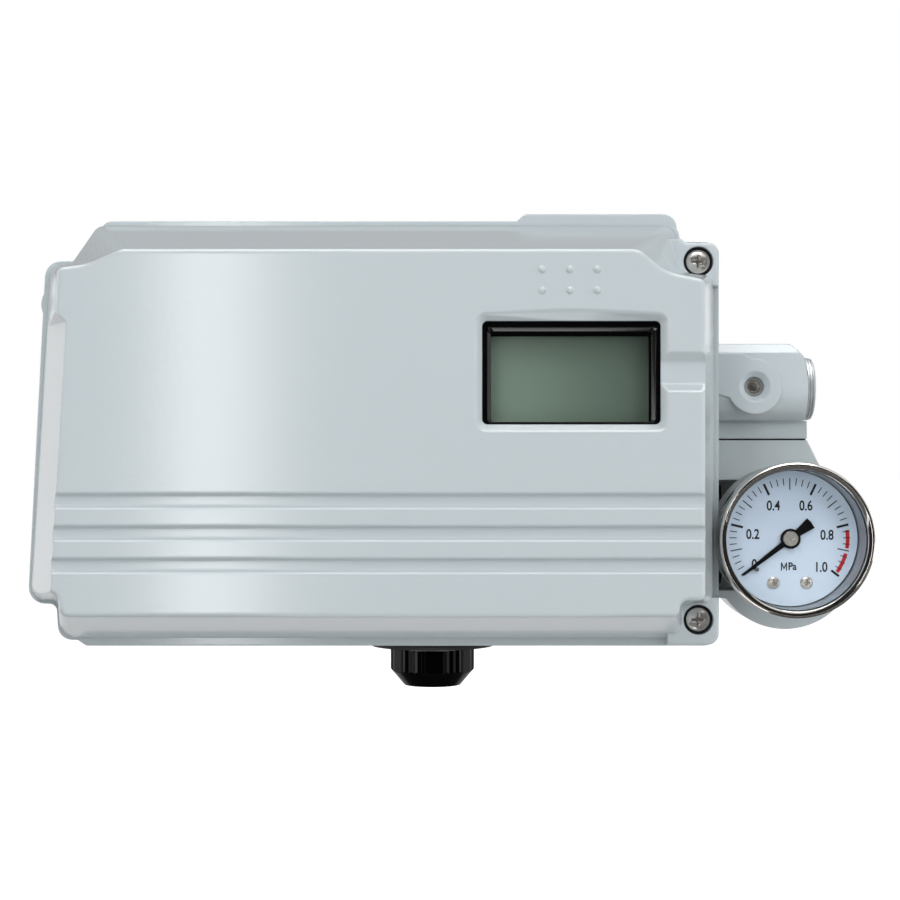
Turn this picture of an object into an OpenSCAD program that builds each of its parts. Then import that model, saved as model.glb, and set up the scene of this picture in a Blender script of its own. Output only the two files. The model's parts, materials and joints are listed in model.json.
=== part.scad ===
// Electropneumatic valve positioner with a side-mounted pressure gauge.
// The model is drawn face-on: x to the right, y up and z towards the viewer, with z = 0 on the rear
// mounting face. facing() then stands it up, so that in the finished part +Z is up and -Y is the front.
// The feedback shaft turns about the origin's Y axis.

/* [Enclosure] */
// Width of the whole positioner, from the base's left lobe to the end of the supply port
overall_w = 202.2; // [194.2:1:212.2]
// Height of the base flange
enclosure_h = 102; // [98:1:108]
// Depth of the base, from the mounting face to the parting face
base_depth = 48; // [46:1:54]
// Depth of the cover, from its back edge to its front face
cover_depth = 30; // [28:1:36]
// Wall thickness of the castings
wall = 3; // [2.4:0.1:3.4]
// Gap left between the two castings by the gasket
seam = 0.25; // [0.2:0.05:0.5]
// Distance from the feedback shaft to the middle of the enclosure
shaft_offset = 35; // [32:1:38]

/* [Cover] */
// Radius of the cover's front edge
edge_r = 1.2; // [0.8:0.1:1.4]
// Depth of the three cooling grooves
groove_d = 1.3; // [0.8:0.1:1.8]
// Distance between two grooves
groove_pitch = 7.3; // [6:0.1:8]
// Height of the screw lugs above the parting face
lug_h = 6.5; // [5.5:0.5:8]
// Width of the display window
window_w = 40.4; // [36:0.2:44]
// Height of the display window
window_h = 23.4; // [21:0.2:26]
// Depth of the sloped surround of the window
recess_d = 2.2; // [1.4:0.1:2.4]

/* [Feedback] */
// Diameter of the feedback shaft
shaft_d = 8; // [6:0.5:9]
// Length of shaft that stands out behind the mounting face
shaft_out = 18; // [12:1:24]
// Teeth on the shaft's gear
gear_teeth = 60; // [48:4:64]
// Teeth on the potentiometer's pinion
pinion_teeth = 20; // [18:1:22]
// Module of the feedback gears
gear_module = 0.5; // [0.45:0.05:0.5]
// Spacing of the rear mounting holes, across
mount_hole_w = 50; // [46:1:54]
// Spacing of the rear mounting holes, up and down
mount_hole_h = 40; // [36:1:44]
// Diameter of the rear mounting holes, drilled for an M6 thread
mount_hole_d = 5; // [4.2:0.1:5.4]

/* [Pneumatics] */
// Bore of the threaded air ports, G1/4 minor diameter
port_d = 11.44; // [9:0.1:12]
// Reach of the port block out from the base's side wall
block_w = 27; // [26:1:32]
// Diameter of the gauge's bezel ring
bezel_d = 37; // [35:0.2:37.2]
// Sweep of the gauge needle, from zero to full scale
needle_sweep = 255; // [240:5:270]

/* [Cable gland] */
// Diameter of the gland's cap nut
gland_d = 21; // [19:0.5:23]
// Bore for the cable through the seal
cable_d = 8; // [6:0.5:9]

/* [Hidden] */
$fn = 48;

PAINT = "#bcc6c8";
BLACK = "#16181a";
RUBBER = "#0f1011";
STEEL = "#b9b6b0";
BRASS = "#c2a15a";

// Running and assembly clearances
fit = 0.04;
loose = 0.15;
touch = 0.02;
eps = 0.01;

// Main sizes of the enclosure, and its levels measured towards the viewer from the mounting face
body_inset = 2.5;
gauge_block_w = 36.5;
bush_flange = 2.2;
enclosure_w = overall_w - (gauge_block_w - body_inset + bush_flange);
hw = enclosure_w / 2;
hh = enclosure_h / 2;
rear_wall_z = 6;
floor_z = rear_wall_z + wall + 1;
flange_t = 8;
cover_z = base_depth + seam;
front_z = cover_z + cover_depth;
cavity_inset = body_inset + wall - 1.3;

// Small helpers

function unit(v) = v / norm(v);
function wrap(a) = a > 180 ? a - 360 : a < -180 ? a + 360 : a;
function left_of(v) = [-v[1], v[0]];

// The points of one rounded corner p between its neighbours a and b
function corner_arc(a, p, b, r, n) =
    let (u = unit(a - p), v = unit(b - p), half = acos(u * v) / 2,
         c = p + unit(u + v) * r / sin(half),
         s = p + u * r / tan(half) - c, e = p + v * r / tan(half) - c,
         start = atan2(s[1], s[0]), turn = wrap(atan2(e[1], e[0]) - start))
    [for (k = [0:n]) c + r * [cos(start + turn * k / n), sin(start + turn * k / n)]];

// A closed outline from corners given as [x, y, radius], each straight side cut into pieces
function rounded(corners, n = 6, pieces = 1) =
    let (m = len(corners), at = [for (c = corners) [c[0], c[1]]],
         arcs = [for (i = [0:m - 1]) corner_arc(at[(i + m - 1) % m], at[i], at[(i + 1) % m],
             corners[i][2], n)])
    [for (i = [0:m - 1]) let (from = arcs[i][n], to = arcs[(i + 1) % m][0]) each
        concat(arcs[i], [for (k = [1:1:pieces - 1]) from + (to - from) * k / pieces])];

// Corners of the clockwise outline moved inwards by d, with their radii eased to suit
function shrink(corners, d) =
    let (m = len(corners), at = [for (c = corners) [c[0], c[1]]])
    [for (i = [0:m - 1])
        let (before = unit(at[i] - at[(i + m - 1) % m]), after = unit(at[(i + 1) % m] - at[i]),
             n1 = -left_of(before), n2 = -left_of(after), hollow = left_of(before) * after > 0,
             p = at[i] + d * (n1 + n2) / (1 + n1 * n2), r = corners[i][2])
        [p[0], p[1], hollow ? r + min(d, 1.2) : max(r - d, 0.3)]];

// The rounded outline of corners, moved inwards by d
function inset(corners, d = 0, pieces = 1) = rounded(shrink(corners, d), 6, pieces);

// A rectangle with round corners, centred on c
function round_box(c, w, h, r) =
    [[c[0] - w / 2, c[1] + h / 2, r], [c[0] + w / 2, c[1] + h / 2, r],
     [c[0] + w / 2, c[1] - h / 2, r], [c[0] - w / 2, c[1] - h / 2, r]];

module facing() { rotate([90, 0, 0]) children(); }
module in_enclosure() { facing() translate([shaft_offset, 0, 0]) children(); }
module slab(points, z0, z1) { translate([0, 0, z0]) linear_extrude(z1 - z0) polygon(points); }
module box(x0, x1, y0, y1, z0, z1) { translate([x0, y0, z0]) cube([x1 - x0, y1 - y0, z1 - z0]); }
module post(at, z0, z1, r) { translate([at[0], at[1], z0]) cylinder(h = z1 - z0, r = r); }
module post_x(at, x0, x1, r) { translate([x0, at[0], at[1]]) rotate([0, 90, 0]) cylinder(h = x1 - x0,
    r = r); }
module post_y(at, y0, y1, r) { translate([at[0], y0, at[1]]) rotate([-90, 0, 0]) cylinder(h = y1 - y0,
    r = r); }

// A solid skinned over outlines of equal length, each at its own level, with fans closing both ends
module skin(rings, levels) {
    n = len(rings[0]);
    m = len(rings);
    middle = [for (j = [0, m - 1]) let (sum = [for (p = rings[j]) 1] * rings[j] / n) [sum[0], sum[1],
        levels[j]]];
    points = concat([for (j = [0:m - 1]) each [for (p = rings[j]) [p[0], p[1], levels[j]]]], middle);
    sides = [for (j = [0:m - 2]) each [for (i = [0:n - 1]) each
        [[j * n + i, (j + 1) * n + i, j * n + (i + 1) % n],
         [j * n + (i + 1) % n, (j + 1) * n + i, (j + 1) * n + (i + 1) % n]]]];
    back = [for (i = [0:n - 1]) [(i + 1) % n, i, m * n]];
    front = [for (i = [0:n - 1]) [(m - 1) * n + i, (m - 1) * n + (i + 1) % n, m * n + 1]];
    polyhedron(points, concat(sides, back, front));
}

// Outlines of the castings, clockwise from the top left

base_corners = [
    [-hw + 19, hh, 3], [hw - 10, hh, 4], [hw - 9.3, hh - 5, 1.5], [hw, hh - 5, 3.5],
    [hw, -hh, 3.5], [-hw + 14, -hh, 2], [-hw + 12, -hh + 1.4, 1], [-hw + 7.4, -hh + 1.4, 3.5],
    [-hw + 6.9, -hh + 10.1, 1.8], [-hw, -hh + 10.1, 4], [-hw + 4.3, hh - 9.6, 4], [-hw + 11.3, hh - 9.6,
        1]];

cover_back = [
    [-hw + 5.4, hh - 10.6, 3.5], [-hw + 10.9, hh - 9.8, 0.8], [-hw + 16.9, hh - 1.2, 3], [hw - 10.8,
        hh - 1.2, 3.5],
    [hw - 8.4, hh - 12.5, 4], [hw - 1.2, hh - 12.7, 1.5], [hw - 1.2, -hh + 10, 1.5], [hw - 8.6, -hh + 10,
        2.2],
    [hw - 8.6, -hh + 1.9, 2.2], [-hw + 7.8, -hh + 1.9, 4], [-hw + 7.3, -hh + 10.8, 1.5], [-hw + 0.6,
        -hh + 10.8, 3.5]];

cover_front = [
    [-hw + 12.7, hh - 13.8, 1.6], [-hw + 19.5, hh - 12.9, 12], [-hw + 27.2, hh - 9.5, 4], [hw - 21.8,
        hh - 9.5, 5],
    [hw - 15.7, hh - 14.7, 10], [hw - 6.9, hh - 16.5, 1.6], [hw - 6.9, -hh + 13, 1.6], [hw - 12.6,
        -hh + 13, 2],
    [hw - 12.8, -hh + 9.2, 1.8], [-hw + 13.6, -hh + 9.2, 2.4], [-hw + 12.6, -hh + 14.6, 2], [-hw + 8.7,
        -hh + 15.2, 1.6]];

// Base casting

mount_pad_w = mount_hole_w + 26;
mount_pad_h = mount_hole_h + 24;
bush_r = shaft_d / 2 + 2;
shaft_boss_z = floor_z + 12;
screw_at = [[hw - 5.7, hh - 10.3], [hw - 5.7, -hh + 6.8]];
screw_r = 1.5;
gland_x = 14;
gland_z = 24;
gland_bore_r = 8;
gland_face_y = -hh;
shaft_x = -shaft_offset;
side_x = hw - body_inset;
cavity_right = hw - 1.2 - cavity_inset;

// Air passages and fixing holes through the base's right-hand wall, as [y, z]
port_y = 11.4;
port_z = 23.5;
passage_z = 16.5;
gauge_y = -25.4;
supply_y = gauge_y - 3.3;
supply_z = 12.5;
block_back_z = 4;
block_face_z = 21;
block_screw_r = 2;
port_screw_at = [[4, 14.5], [20, 14.5]];
gauge_screw_at = [[gauge_y + 9, 13], [gauge_y - 9.6, 13]];

module gasket_ring(z0, z1, spare) {
    difference() {
        slab(inset(cover_back, 0.9 - spare), z0, z1);
        slab(inset(cover_back, 2.9 + spare), z0 - 1, z1 + 1);
    }
}

gasket_t = 1.9;

module base_housing() {
    color(PAINT) in_enclosure() difference() {
        union() {
            slab(inset(base_corners), base_depth - flange_t, base_depth);
            slab(inset(base_corners, body_inset), rear_wall_z, base_depth - flange_t + eps);
            slab(rounded(round_box([shaft_x, 0], mount_pad_w, mount_pad_h, 6)), 0, rear_wall_z + eps);
            // raised pad on the top edge
            slab(rounded([[hw - 46.5, hh + 1.7, 1.6], [hw - 10.1, hh + 1.7, 3.4], [hw - 10.1, hh - 5, 1],
                [hw - 48.5, hh - 5, 1], [hw - 48.5, hh, 1]]), base_depth - 18, base_depth);
            // rounded locating lug on the left edge
            post([-hw + 8.4, hh - 20], base_depth - flange_t, base_depth, 5.2);
            post_y([gland_x, gland_z], gland_face_y, -hh + 6, 16.2);
        }
        difference() {
            slab(inset(cover_back, cavity_inset), floor_z, base_depth + 1);
            // bosses left standing in the cavity
            post([shaft_x, 0], 0, shaft_boss_z, bush_r + wall);
            for (at = gauge_screw_at) post_x(at, cavity_right - 5, cavity_right + 1, 4.5);
            for (at = carrier_posts) post(at, 0, carrier_z, 3.2);
            for (at = bracket_posts) post(at, 0, bracket_z, 3);
            for (at = pilot_posts) post(at, 0, pilot_z, 3);
            for (at = terminal_posts) post(at, 0, terminal_z, 3);
            post(earth_at, 0, earth_z, 3.5);
        }
        gasket_ring(base_depth - gasket_t + seam, base_depth + 1, 0.1);
        for (at = screw_at) post(at, base_depth - 12, base_depth + 1, screw_r + fit);
        for (sx = [-1, 1], sy = [-1, 1])
            post([shaft_x + sx * mount_hole_w / 2, sy * mount_hole_h / 2], -1, 9, mount_hole_d / 2);
        post([shaft_x, 0], -1, shaft_boss_z + 1, bush_r);
        post([shaft_x, 0], -1, seal_t, seal_r);
        post_y([gland_x, gland_z], gland_face_y - 1, -hh + 12, gland_bore_r + loose);
        post_x([port_y, passage_z], cavity_right - 1, hw, 2.5);
        post_x([supply_y, supply_z], cavity_right - 1, hw, 2.5);
        for (at = port_screw_at) post_x(at, cavity_right - 1, hw, block_screw_r + loose);
        for (at = gauge_screw_at) post_x(at, cavity_right - 4, hw, block_screw_r + fit);
        for (at = carrier_posts) post(at, carrier_z - 8, carrier_z + 1, board_screw_r + fit);
        for (at = bracket_posts) post(at, bracket_z - 6, bracket_z + 1, board_screw_r + fit);
        for (at = pilot_posts) post(at, pilot_z - 6, pilot_z + 1, board_screw_r + fit);
        for (at = terminal_posts) post(at, terminal_z - 6, terminal_z + 1, board_screw_r + fit);
        post(earth_at, earth_z - 7, earth_z + 1, 2 + fit);
    }
}

// Cover casting

edge_steps = [22.5, 45, 67.5, 90];
window_at = [hw - 37.1, 13.5];
surround_arch_r = 150;
groove_top = -13.7;
lug_top_z = cover_z + lug_h;
counterbore_r = 3.55;
counterbore_z = lug_top_z - 3.4;

module cover_skin() {
    pieces = 5;
    steps = 4;
    back = inset(cover_back, 0, pieces);
    front = inset(cover_front, 0, pieces);
    rise = front_z - edge_r - cover_z;
    skin(concat([for (s = [0:steps]) back + (front - back) * s / steps],
            [for (a = edge_steps) inset(cover_front, edge_r * (1 - cos(a)), pieces)]),
        concat([for (s = [0:steps]) cover_z + rise * s / steps],
            [for (a = edge_steps) front_z - edge_r * (1 - sin(a))]));
}

module cover_hollow() {
    skin([inset(cover_back, wall), inset(cover_front, wall)], [cover_z - 1, front_z - wall]);
}

// One shallow groove with a steep upper wall, its lips eased by lip
module groove(top) {
    lip = 0.25;
    span = 3.4;
    translate([-hw, top, front_z]) rotate([90, 0, 90]) linear_extrude(2 * hw)
        polygon([[lip, 1], [lip, 0], [-0.1, -lip], [-0.5, -groove_d + 0.1], [-0.75, -groove_d],
            [-span + 0.9, -groove_d], [-span + 0.6, -groove_d + 0.1], [-span + 0.1, -lip], [-span - lip,
                0], [-span - lip, 1]]);
}

// The channel from the window's surround to the right-hand edge
module side_channel() {
    translate([window_at[0] + window_w / 2 - 2, window_at[1], front_z]) rotate([90, 0,
        90]) linear_extrude(40)
        polygon([[4.9, 1], [4.7, 0], [4.3, -0.3], [2.7, -recess_d + 0.2], [2.2, -recess_d], [-2.2,
            -recess_d],
            [-2.6, -recess_d + 0.2], [-4.1, -0.3], [-4.5, 0], [-4.7, 1]]);
}

function surround(w, h, rise, r) = rounded([
    [window_at[0] - w / 2, window_at[1] + h / 2, r], [window_at[0], window_at[1] + h / 2 + rise,
        surround_arch_r],
    [window_at[0] + w / 2, window_at[1] + h / 2, r], [window_at[0] + w / 2, window_at[1] - h / 2, r],
    [window_at[0] - w / 2, window_at[1] - h / 2, r]]);

module window_surround() {
    skin([surround(window_w - 0.2, window_h - 0.2, 0.2, 1.2), surround(window_w + 2.4, window_h + 2.6,
        0.9, 2),
          surround(window_w + 3.3, window_h + 3.5, 1.2, 2.6), surround(window_w + 4.6, window_h + 4.6,
              1.5, 3.2)],
        [front_z - recess_d, front_z - 0.35, front_z, front_z + 1]);
}

// The bevel down the left-hand edge, below the upper lobe
module left_bevel() {
    top = [-hw + 15, 24.8];
    low = [-hw + 10.4, -hh - 4];
    lean = atan2(top[0] - low[0], top[1] - low[1]);
    run = norm(top - low);
    translate([low[0], low[1], front_z]) rotate([0, 0, -lean]) hull() {
        rotate([-90, 0, 0]) linear_extrude(run) polygon([[0, -0.02], [0, -2], [-16, -2], [-16, 30],
            [-10.5, 28]]);
        translate([0, run, 0]) rotate([-90, 0, 0]) linear_extrude(3) polygon([[-3.5, -0.02], [-3.5, -2],
            [-16, -2], [-16, 10]]);
    }
}

module front_cover() {
    color(PAINT) in_enclosure() difference() {
        union() {
            difference() {
                cover_skin();
                left_bevel();
                for (i = [0:2]) groove(groove_top - i * groove_pitch);
                window_surround();
                side_channel();
            }
            // screw lugs
            intersection() {
                skin([for (d = [0.1, 0.75, 0.85, 1.1, 1.5]) inset(base_corners, d)],
                    [cover_z, lug_top_z - 0.9, lug_top_z - 0.5, lug_top_z - 0.15, lug_top_z]);
                union() {
                    box(hw - 13, hw, hh - 16, hh - 5, cover_z, lug_top_z);
                    box(hw - 13, hw, -hh, -hh + 12, cover_z, lug_top_z);
                }
            }
            // six raised dots above the window
            for (i = [-1:1], j = [0, 1])
                translate([window_at[0] - 0.5 + i * 6.2, window_at[1] + 18.5 + j * 4.7,
                    front_z - 0.25]) sphere(r = 0.85);
        }
        difference() {
            cover_hollow();
            for (at = screw_at) post(at, cover_z - 2, lug_top_z, counterbore_r + 2);
            box(window_at[0] - window_w / 2 - 4, window_at[0] + window_w / 2 + 4,
                window_at[1] - window_h / 2 - 4, window_at[1] + window_h / 2 + 4,
                    front_z - recess_d - 2.4, front_z);
        }
        slab(rounded(round_box(window_at, window_w, window_h, 1.2)), front_z - 20, front_z);
        for (at = screw_at) {
            post(at, cover_z - 1, lug_top_z + 1, screw_r + loose);
            post(at, counterbore_z, front_z, counterbore_r);
        }
    }
}

module cover_gasket() {
    color(RUBBER) in_enclosure() gasket_ring(base_depth - gasket_t + seam, cover_z, 0);
}

head_r = 2.8;
head_h = 2.2;
seal_ring_t = 1.3;

// Pan head with a cross recess, standing on z = 0
module cross_head(r, h) {
    difference() {
        intersection() {
            cylinder(h = h, r = r);
            translate([0, 0, h - r * 1.55]) sphere(r = r * 1.55);
        }
        for (a = [0, 90]) rotate([0, 0, a]) translate([-r * 0.58, -r * 0.13, h * 0.4]) cube([r * 1.16,
            r * 0.26, h]);
        translate([0, 0, h * 0.4]) cylinder(h = h, r1 = r * 0.1, r2 = r * 0.42);
    }
}

module cover_screws() {
    color(STEEL) in_enclosure() for (at = screw_at) {
        translate([at[0], at[1], counterbore_z + seal_ring_t]) cross_head(head_r, head_h);
        post(at, base_depth - 9, counterbore_z + seal_ring_t + eps, screw_r);
    }
}

module cover_screw_seals() {
    color(RUBBER) in_enclosure() for (at = screw_at) difference() {
        post(at, counterbore_z, counterbore_z + seal_ring_t, counterbore_r - touch);
        post(at, counterbore_z - 1, counterbore_z + 5, screw_r + touch);
    }
}

// Display window

frame_back_z = front_z - recess_d - 2.4 - 1.6;
frame_rim = 3;
lens_t = 1.5;
lens_z = front_z - recess_d - 2.6;
display_z = front_z - 10;
display_drop = 1.3;

module window_frame() {
    color(BLACK) in_enclosure() difference() {
        union() {
            slab(rounded(round_box(window_at, window_w - 2 * touch, window_h - 2 * touch, 1.2)),
                frame_back_z, front_z - recess_d - 0.1);
            slab(rounded(round_box(window_at, window_w + 2 * frame_rim, window_h + 2 * frame_rim, 2)),
                frame_back_z, frame_back_z + 1.6 - touch);
        }
        skin([rounded(round_box(window_at, window_w - 4.6, window_h - 4.6, 0.8)),
              rounded(round_box(window_at, window_w - 2.6, window_h - 2.6, 0.8))],
            [lens_z + lens_t - eps, front_z - recess_d + 0.3]);
        slab(rounded(round_box(window_at, window_w - 4.6, window_h - 4.6, 0.8)), frame_back_z - 1, front_z);
        slab(rounded(round_box(window_at, window_w - 2.4, window_h - 2.4, 0.8)), frame_back_z - 1,
            lens_z + lens_t);
    }
}

module window_lens() {
    color("#dfe8ea", 0.35) in_enclosure()
        slab(rounded(round_box(window_at, window_w - 2.4 - 2 * touch, window_h - 2.4 - 2 * touch, 0.8)),
            lens_z, lens_z + lens_t - touch);
}

// Electronics unit: a carrier on four posts, with its board, display, buttons and switches

carrier_w = 54;
carrier_h = 52;
carrier_post_in = 5;
carrier_z = floor_z + 20;
carrier_at = [window_at[0], window_at[1] - 14];
carrier_top_z = display_z - 6;
carrier_posts = [for (sx = [-1, 1], sy = [-1, 1]) [carrier_at[0] + sx * (carrier_w / 2 -
    carrier_post_in), carrier_at[1] + sy * (carrier_h / 2 - carrier_post_in)]];
board_screw_r = 1.25;
board_t = 1.6;
board_z = carrier_top_z - 7;
panel_w = window_w - 4;
panel_h = window_h - 3.6;
panel_at = [window_at[0], window_at[1] - display_drop];
button_y = window_at[1] - window_h / 2 - 10;
button_x = [-13, 0, 13];
button_travel = 1;
button_r = 3.4;
button_top_z = display_z + 1.5;
switch_z = board_z + board_t + 1;

carrier_corner_r = 4;
board_margin = 4.6;
board_screw_grip = 6;

module carrier_outline(grow, z0, z1) {
    slab(rounded(round_box(carrier_at, carrier_w + grow, carrier_h + grow, carrier_corner_r)), z0, z1);
}

module electronics_carrier() {
    color("#33383b") in_enclosure() difference() {
        union() {
            difference() {
                carrier_outline(0, carrier_z, carrier_top_z);
                carrier_outline(-4, carrier_z + 2.5, carrier_top_z - 2);
                // the board's seat, open at the back of the front plate
                box(panel_at[0] - panel_w / 2 - 1.3, panel_at[0] + panel_w / 2 + 1.3,
                    panel_at[1] - panel_h / 2 - 1.3, panel_at[1] + panel_h / 2 + 1.3, board_z, front_z);
            }
            for (at = carrier_posts) post(at, carrier_z, board_z, 3.2);
        }
        for (at = carrier_posts) post(at, carrier_z - 1, board_z + 1, board_screw_r + loose);
        for (x = button_x) post([window_at[0] + x, button_y], board_z + board_t, front_z, button_r + 0.3);
        for (at = carrier_posts) post(at, board_z + board_t, front_z, 2.7);
        // way in for the loop wires
        box(carrier_at[0] - 8, carrier_at[0] + 8, carrier_at[1] - carrier_h,
            carrier_at[1] - carrier_h / 2 + 6, carrier_z + 3, carrier_z + 11);
    }
}

module circuit_board() {
    color("#1f5a3a") in_enclosure() difference() {
        carrier_outline(-board_margin, board_z, board_z + board_t);
        for (at = carrier_posts) post(at, board_z - board_t, board_z + 2 * board_t, board_screw_r + loose);
    }
}

module small_screw(at, z_seat, length) {
    translate([at[0], at[1], z_seat]) cross_head(2.2, 1.6);
    post(at, z_seat - length, z_seat + eps, board_screw_r);
}

module board_screws() {
    color(STEEL) in_enclosure() for (at = carrier_posts) small_screw(at, board_z + board_t,
        board_z + board_t - carrier_z + board_screw_grip);
}

module display_holder() {
    color(BLACK) in_enclosure() difference() {
        slab(rounded(round_box(panel_at, panel_w + 2.4, panel_h + 2.4, 0.6)), board_z + board_t, display_z);
        slab(rounded(round_box(panel_at, panel_w + touch * 2, panel_h + touch * 2, 0.4)),
            display_z - 1.2, display_z + 1);
        slab(rounded(round_box(panel_at, panel_w - 3, panel_h - 3, 0.4)), board_z, display_z);
    }
}

module display_panel() {
    color("#6c7d70") in_enclosure()
        slab(rounded(round_box(panel_at, panel_w, panel_h, 0.4)), display_z - 1.2, display_z - touch);
}

module button_switches() {
    color("#2a2c2e") in_enclosure() for (x = button_x) {
        at = [window_at[0] + x, button_y];
        box(at[0] - 3, at[0] + 3, at[1] - 3, at[1] + 3, board_z + board_t, switch_z);
    }
}

module push_button(x) {
    at = [window_at[0] + x, button_y];
    color("#c9cccd") in_enclosure() difference() {
        union() {
            post(at, switch_z + button_travel + loose, button_top_z, button_r);
            post(at, switch_z + button_travel + loose, carrier_top_z - 2.3, button_r + 1);
            translate([at[0], at[1], button_top_z - eps]) cylinder(h = 0.6, r1 = button_r,
                r2 = button_r - 0.5);
        }
        translate([at[0], at[1], button_top_z + 9.2]) sphere(r = 9);
    }
}

module button_left() { push_button(button_x[0]); }
module button_middle() { push_button(button_x[1]); }
module button_right() { push_button(button_x[2]); }

// Terminal block and earth screw, above the cable entry

terminal_x = -4;
terminal_y = -hh + 24;
terminal_z = floor_z + 5;
terminal_w = 30;
terminal_posts = [[terminal_x - terminal_w / 2 - 4, terminal_y], [terminal_x + terminal_w / 2 + 4,
    terminal_y]];
terminal_pitch = terminal_w / 6;
terminal_h = 12;
earth_at = [-hw + 22, -hh + 20];
earth_z = floor_z + 5;

module terminal_block() {
    color("#2d6b4c") in_enclosure() difference() {
        union() {
            box(terminal_x - terminal_w / 2, terminal_x + terminal_w / 2, terminal_y - 6, terminal_y + 6,
                terminal_z, terminal_z + terminal_h);
            box(terminal_x - terminal_w / 2 - 8, terminal_x + terminal_w / 2 + 8, terminal_y - 4,
                terminal_y + 4, terminal_z, terminal_z + 3);
        }
        for (at = terminal_posts) post(at, terminal_z - 1, terminal_z + 20, board_screw_r + loose);
        for (i = [-2.5:2.5]) {
            at = [terminal_x + i * terminal_pitch, terminal_y + 2];
            post(at, terminal_z + 5, terminal_z + 20, 2.1);
            box(at[0] - 2, at[0] + 2, terminal_y - 7, terminal_y - 3, terminal_z + 4.5, terminal_z + 8.5);
        }
    }
}

module terminal_screws() {
    color(STEEL) in_enclosure() {
        for (at = terminal_posts) small_screw(at, terminal_z + 3, 8);
        for (i = [-2.5:2.5])
            translate([terminal_x + i * terminal_pitch, terminal_y + 2, terminal_z + 5]) difference() {
                cylinder(h = 5, r = 2.1 - touch);
                translate([-3, -0.35, 4]) cube([6, 0.7, 2]);
            }
    }
}

module earth_screw() {
    color(BRASS) in_enclosure() {
        translate([earth_at[0], earth_at[1], earth_z + 1]) cross_head(3.6, 2.4);
        post(earth_at, earth_z, earth_z + 1 + eps, 4);
        post(earth_at, earth_z - 6, earth_z + eps, 2);
    }
}

// Feedback shaft, clutch, gears and potentiometer

seal_t = 3;
seal_r = bush_r + 1.5;
shaft_r = shaft_d / 2;
clip_z = shaft_boss_z + 0.4;
clip_t = 0.8;
relief_z = 1.6;
gear_z = clip_z + clip_t + 0.4;
gear_t = 4;
spring_t = 0.8;
clutch_t = 5;
shaft_front_z = gear_z + gear_t + spring_t + clutch_t;
gear_angle = 40;
gear_r = gear_module * gear_teeth / 2;
pinion_r = gear_module * pinion_teeth / 2;
pot_at = [shaft_x, 0] + (gear_r + pinion_r) * [cos(gear_angle), sin(gear_angle)];
bracket_z = floor_z + 3;
bracket_t = 1.5;
bracket_posts = [pot_at + [12, -6], pot_at + [-4, 12.5]];
pot_body_h = gear_z - bracket_z - bracket_t - 2.5;

function involute_of(a) = tan(a) * 180 / PI - a;
// Half the angle that a tooth fills at radius r
function tooth_half(n, rp, rb, r, slack) = 90 / n - slack + involute_of(20) - involute_of(acos(min(1,
    rb / r)));

// Outline of the teeth first..last of a gear with n teeth; slack thins each tooth, in degrees
function teeth(n, m, slack, first, last) =
    let (rp = m * n / 2, rb = rp * cos(20), tip = rp + 0.8 * m, root = rp - 1.05 * m,
         radii = [for (k = [0:3]) max(root, rb) + (tip - max(root, rb)) * k / 3])
    [for (i = [first:last]) each concat(
        [let (a = 360 * i / n - tooth_half(n, rp, rb, radii[0], slack)) root * [cos(a), sin(a)]],
        [for (r = radii) let (a = 360 * i / n - tooth_half(n, rp, rb, r, slack)) r * [cos(a), sin(a)]],
        [for (k = [3:-1:0]) let (r = radii[k], a = 360 * i / n + tooth_half(n, rp, rb, r,
            slack)) r * [cos(a), sin(a)]],
        [let (a = 360 * i / n + tooth_half(n, rp, rb, radii[0], slack)) root * [cos(a), sin(a)]])];

module feedback_shaft() {
    color(STEEL) facing() difference() {
        union() {
            translate([0, 0, -shaft_out + 0.6]) cylinder(h = shaft_out + shaft_front_z - 0.6 + 1.5,
                r = shaft_r);
            translate([0, 0, -shaft_out]) cylinder(h = 0.6 + eps, r1 = shaft_r - 0.6, r2 = shaft_r);
        }
        translate([shaft_r - 1, -shaft_r, -shaft_out - 1]) cube([shaft_d, shaft_d, 9]);
        // groove for the clip, and a relief groove where the shaft leaves the seal
        for (z = [clip_z, -relief_z]) difference() {
            translate([0, 0, z]) cylinder(h = clip_t, r = shaft_r + 1);
            translate([0, 0, z - 5]) cylinder(h = 20, r = shaft_r - 0.6);
        }
    }
}

bush_len = 6;
module shaft_bushes() {
    color("#8d7b52") facing() for (z = [seal_t + 0.2, shaft_boss_z - bush_len]) translate([0, 0,
        z]) difference() {
        cylinder(h = bush_len, r = bush_r - touch);
        translate([0, 0, -1]) cylinder(h = bush_len + 2, r = shaft_r + fit);
    }
}

module shaft_seal() {
    color(RUBBER) facing() difference() {
        translate([0, 0, 0.3]) cylinder(h = seal_t - 0.5, r = seal_r - touch);
        translate([0, 0, -1]) cylinder(h = seal_t + 2, r = shaft_r + fit);
    }
}

module shaft_clip() {
    color(STEEL) facing() translate([0, 0, clip_z + touch]) difference() {
        cylinder(h = clip_t - 2 * touch, r = shaft_r + 1.8);
        translate([0, 0, -1]) cylinder(h = 3, r = shaft_r - 0.6 + touch);
        translate([-(shaft_r - 1.2), -20, -1]) cube([2 * (shaft_r - 1.2), 20, 3]);
    }
}

module shaft_gear() {
    color("#d9d4c4") facing() translate([0, 0, gear_z]) difference() {
        rotate([0, 0, gear_angle]) linear_extrude(gear_t) polygon(teeth(gear_teeth, gear_module, 0.35, 0,
            gear_teeth - 1));
        translate([0, 0, -1]) cylinder(h = gear_t + 2, r = shaft_r + touch);
        for (a = [0:60:300]) rotate([0, 0, a]) translate([gear_r * 0.62, 0, -1]) cylinder(h = gear_t + 2,
            r = gear_r * 0.16);
    }
}

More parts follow.
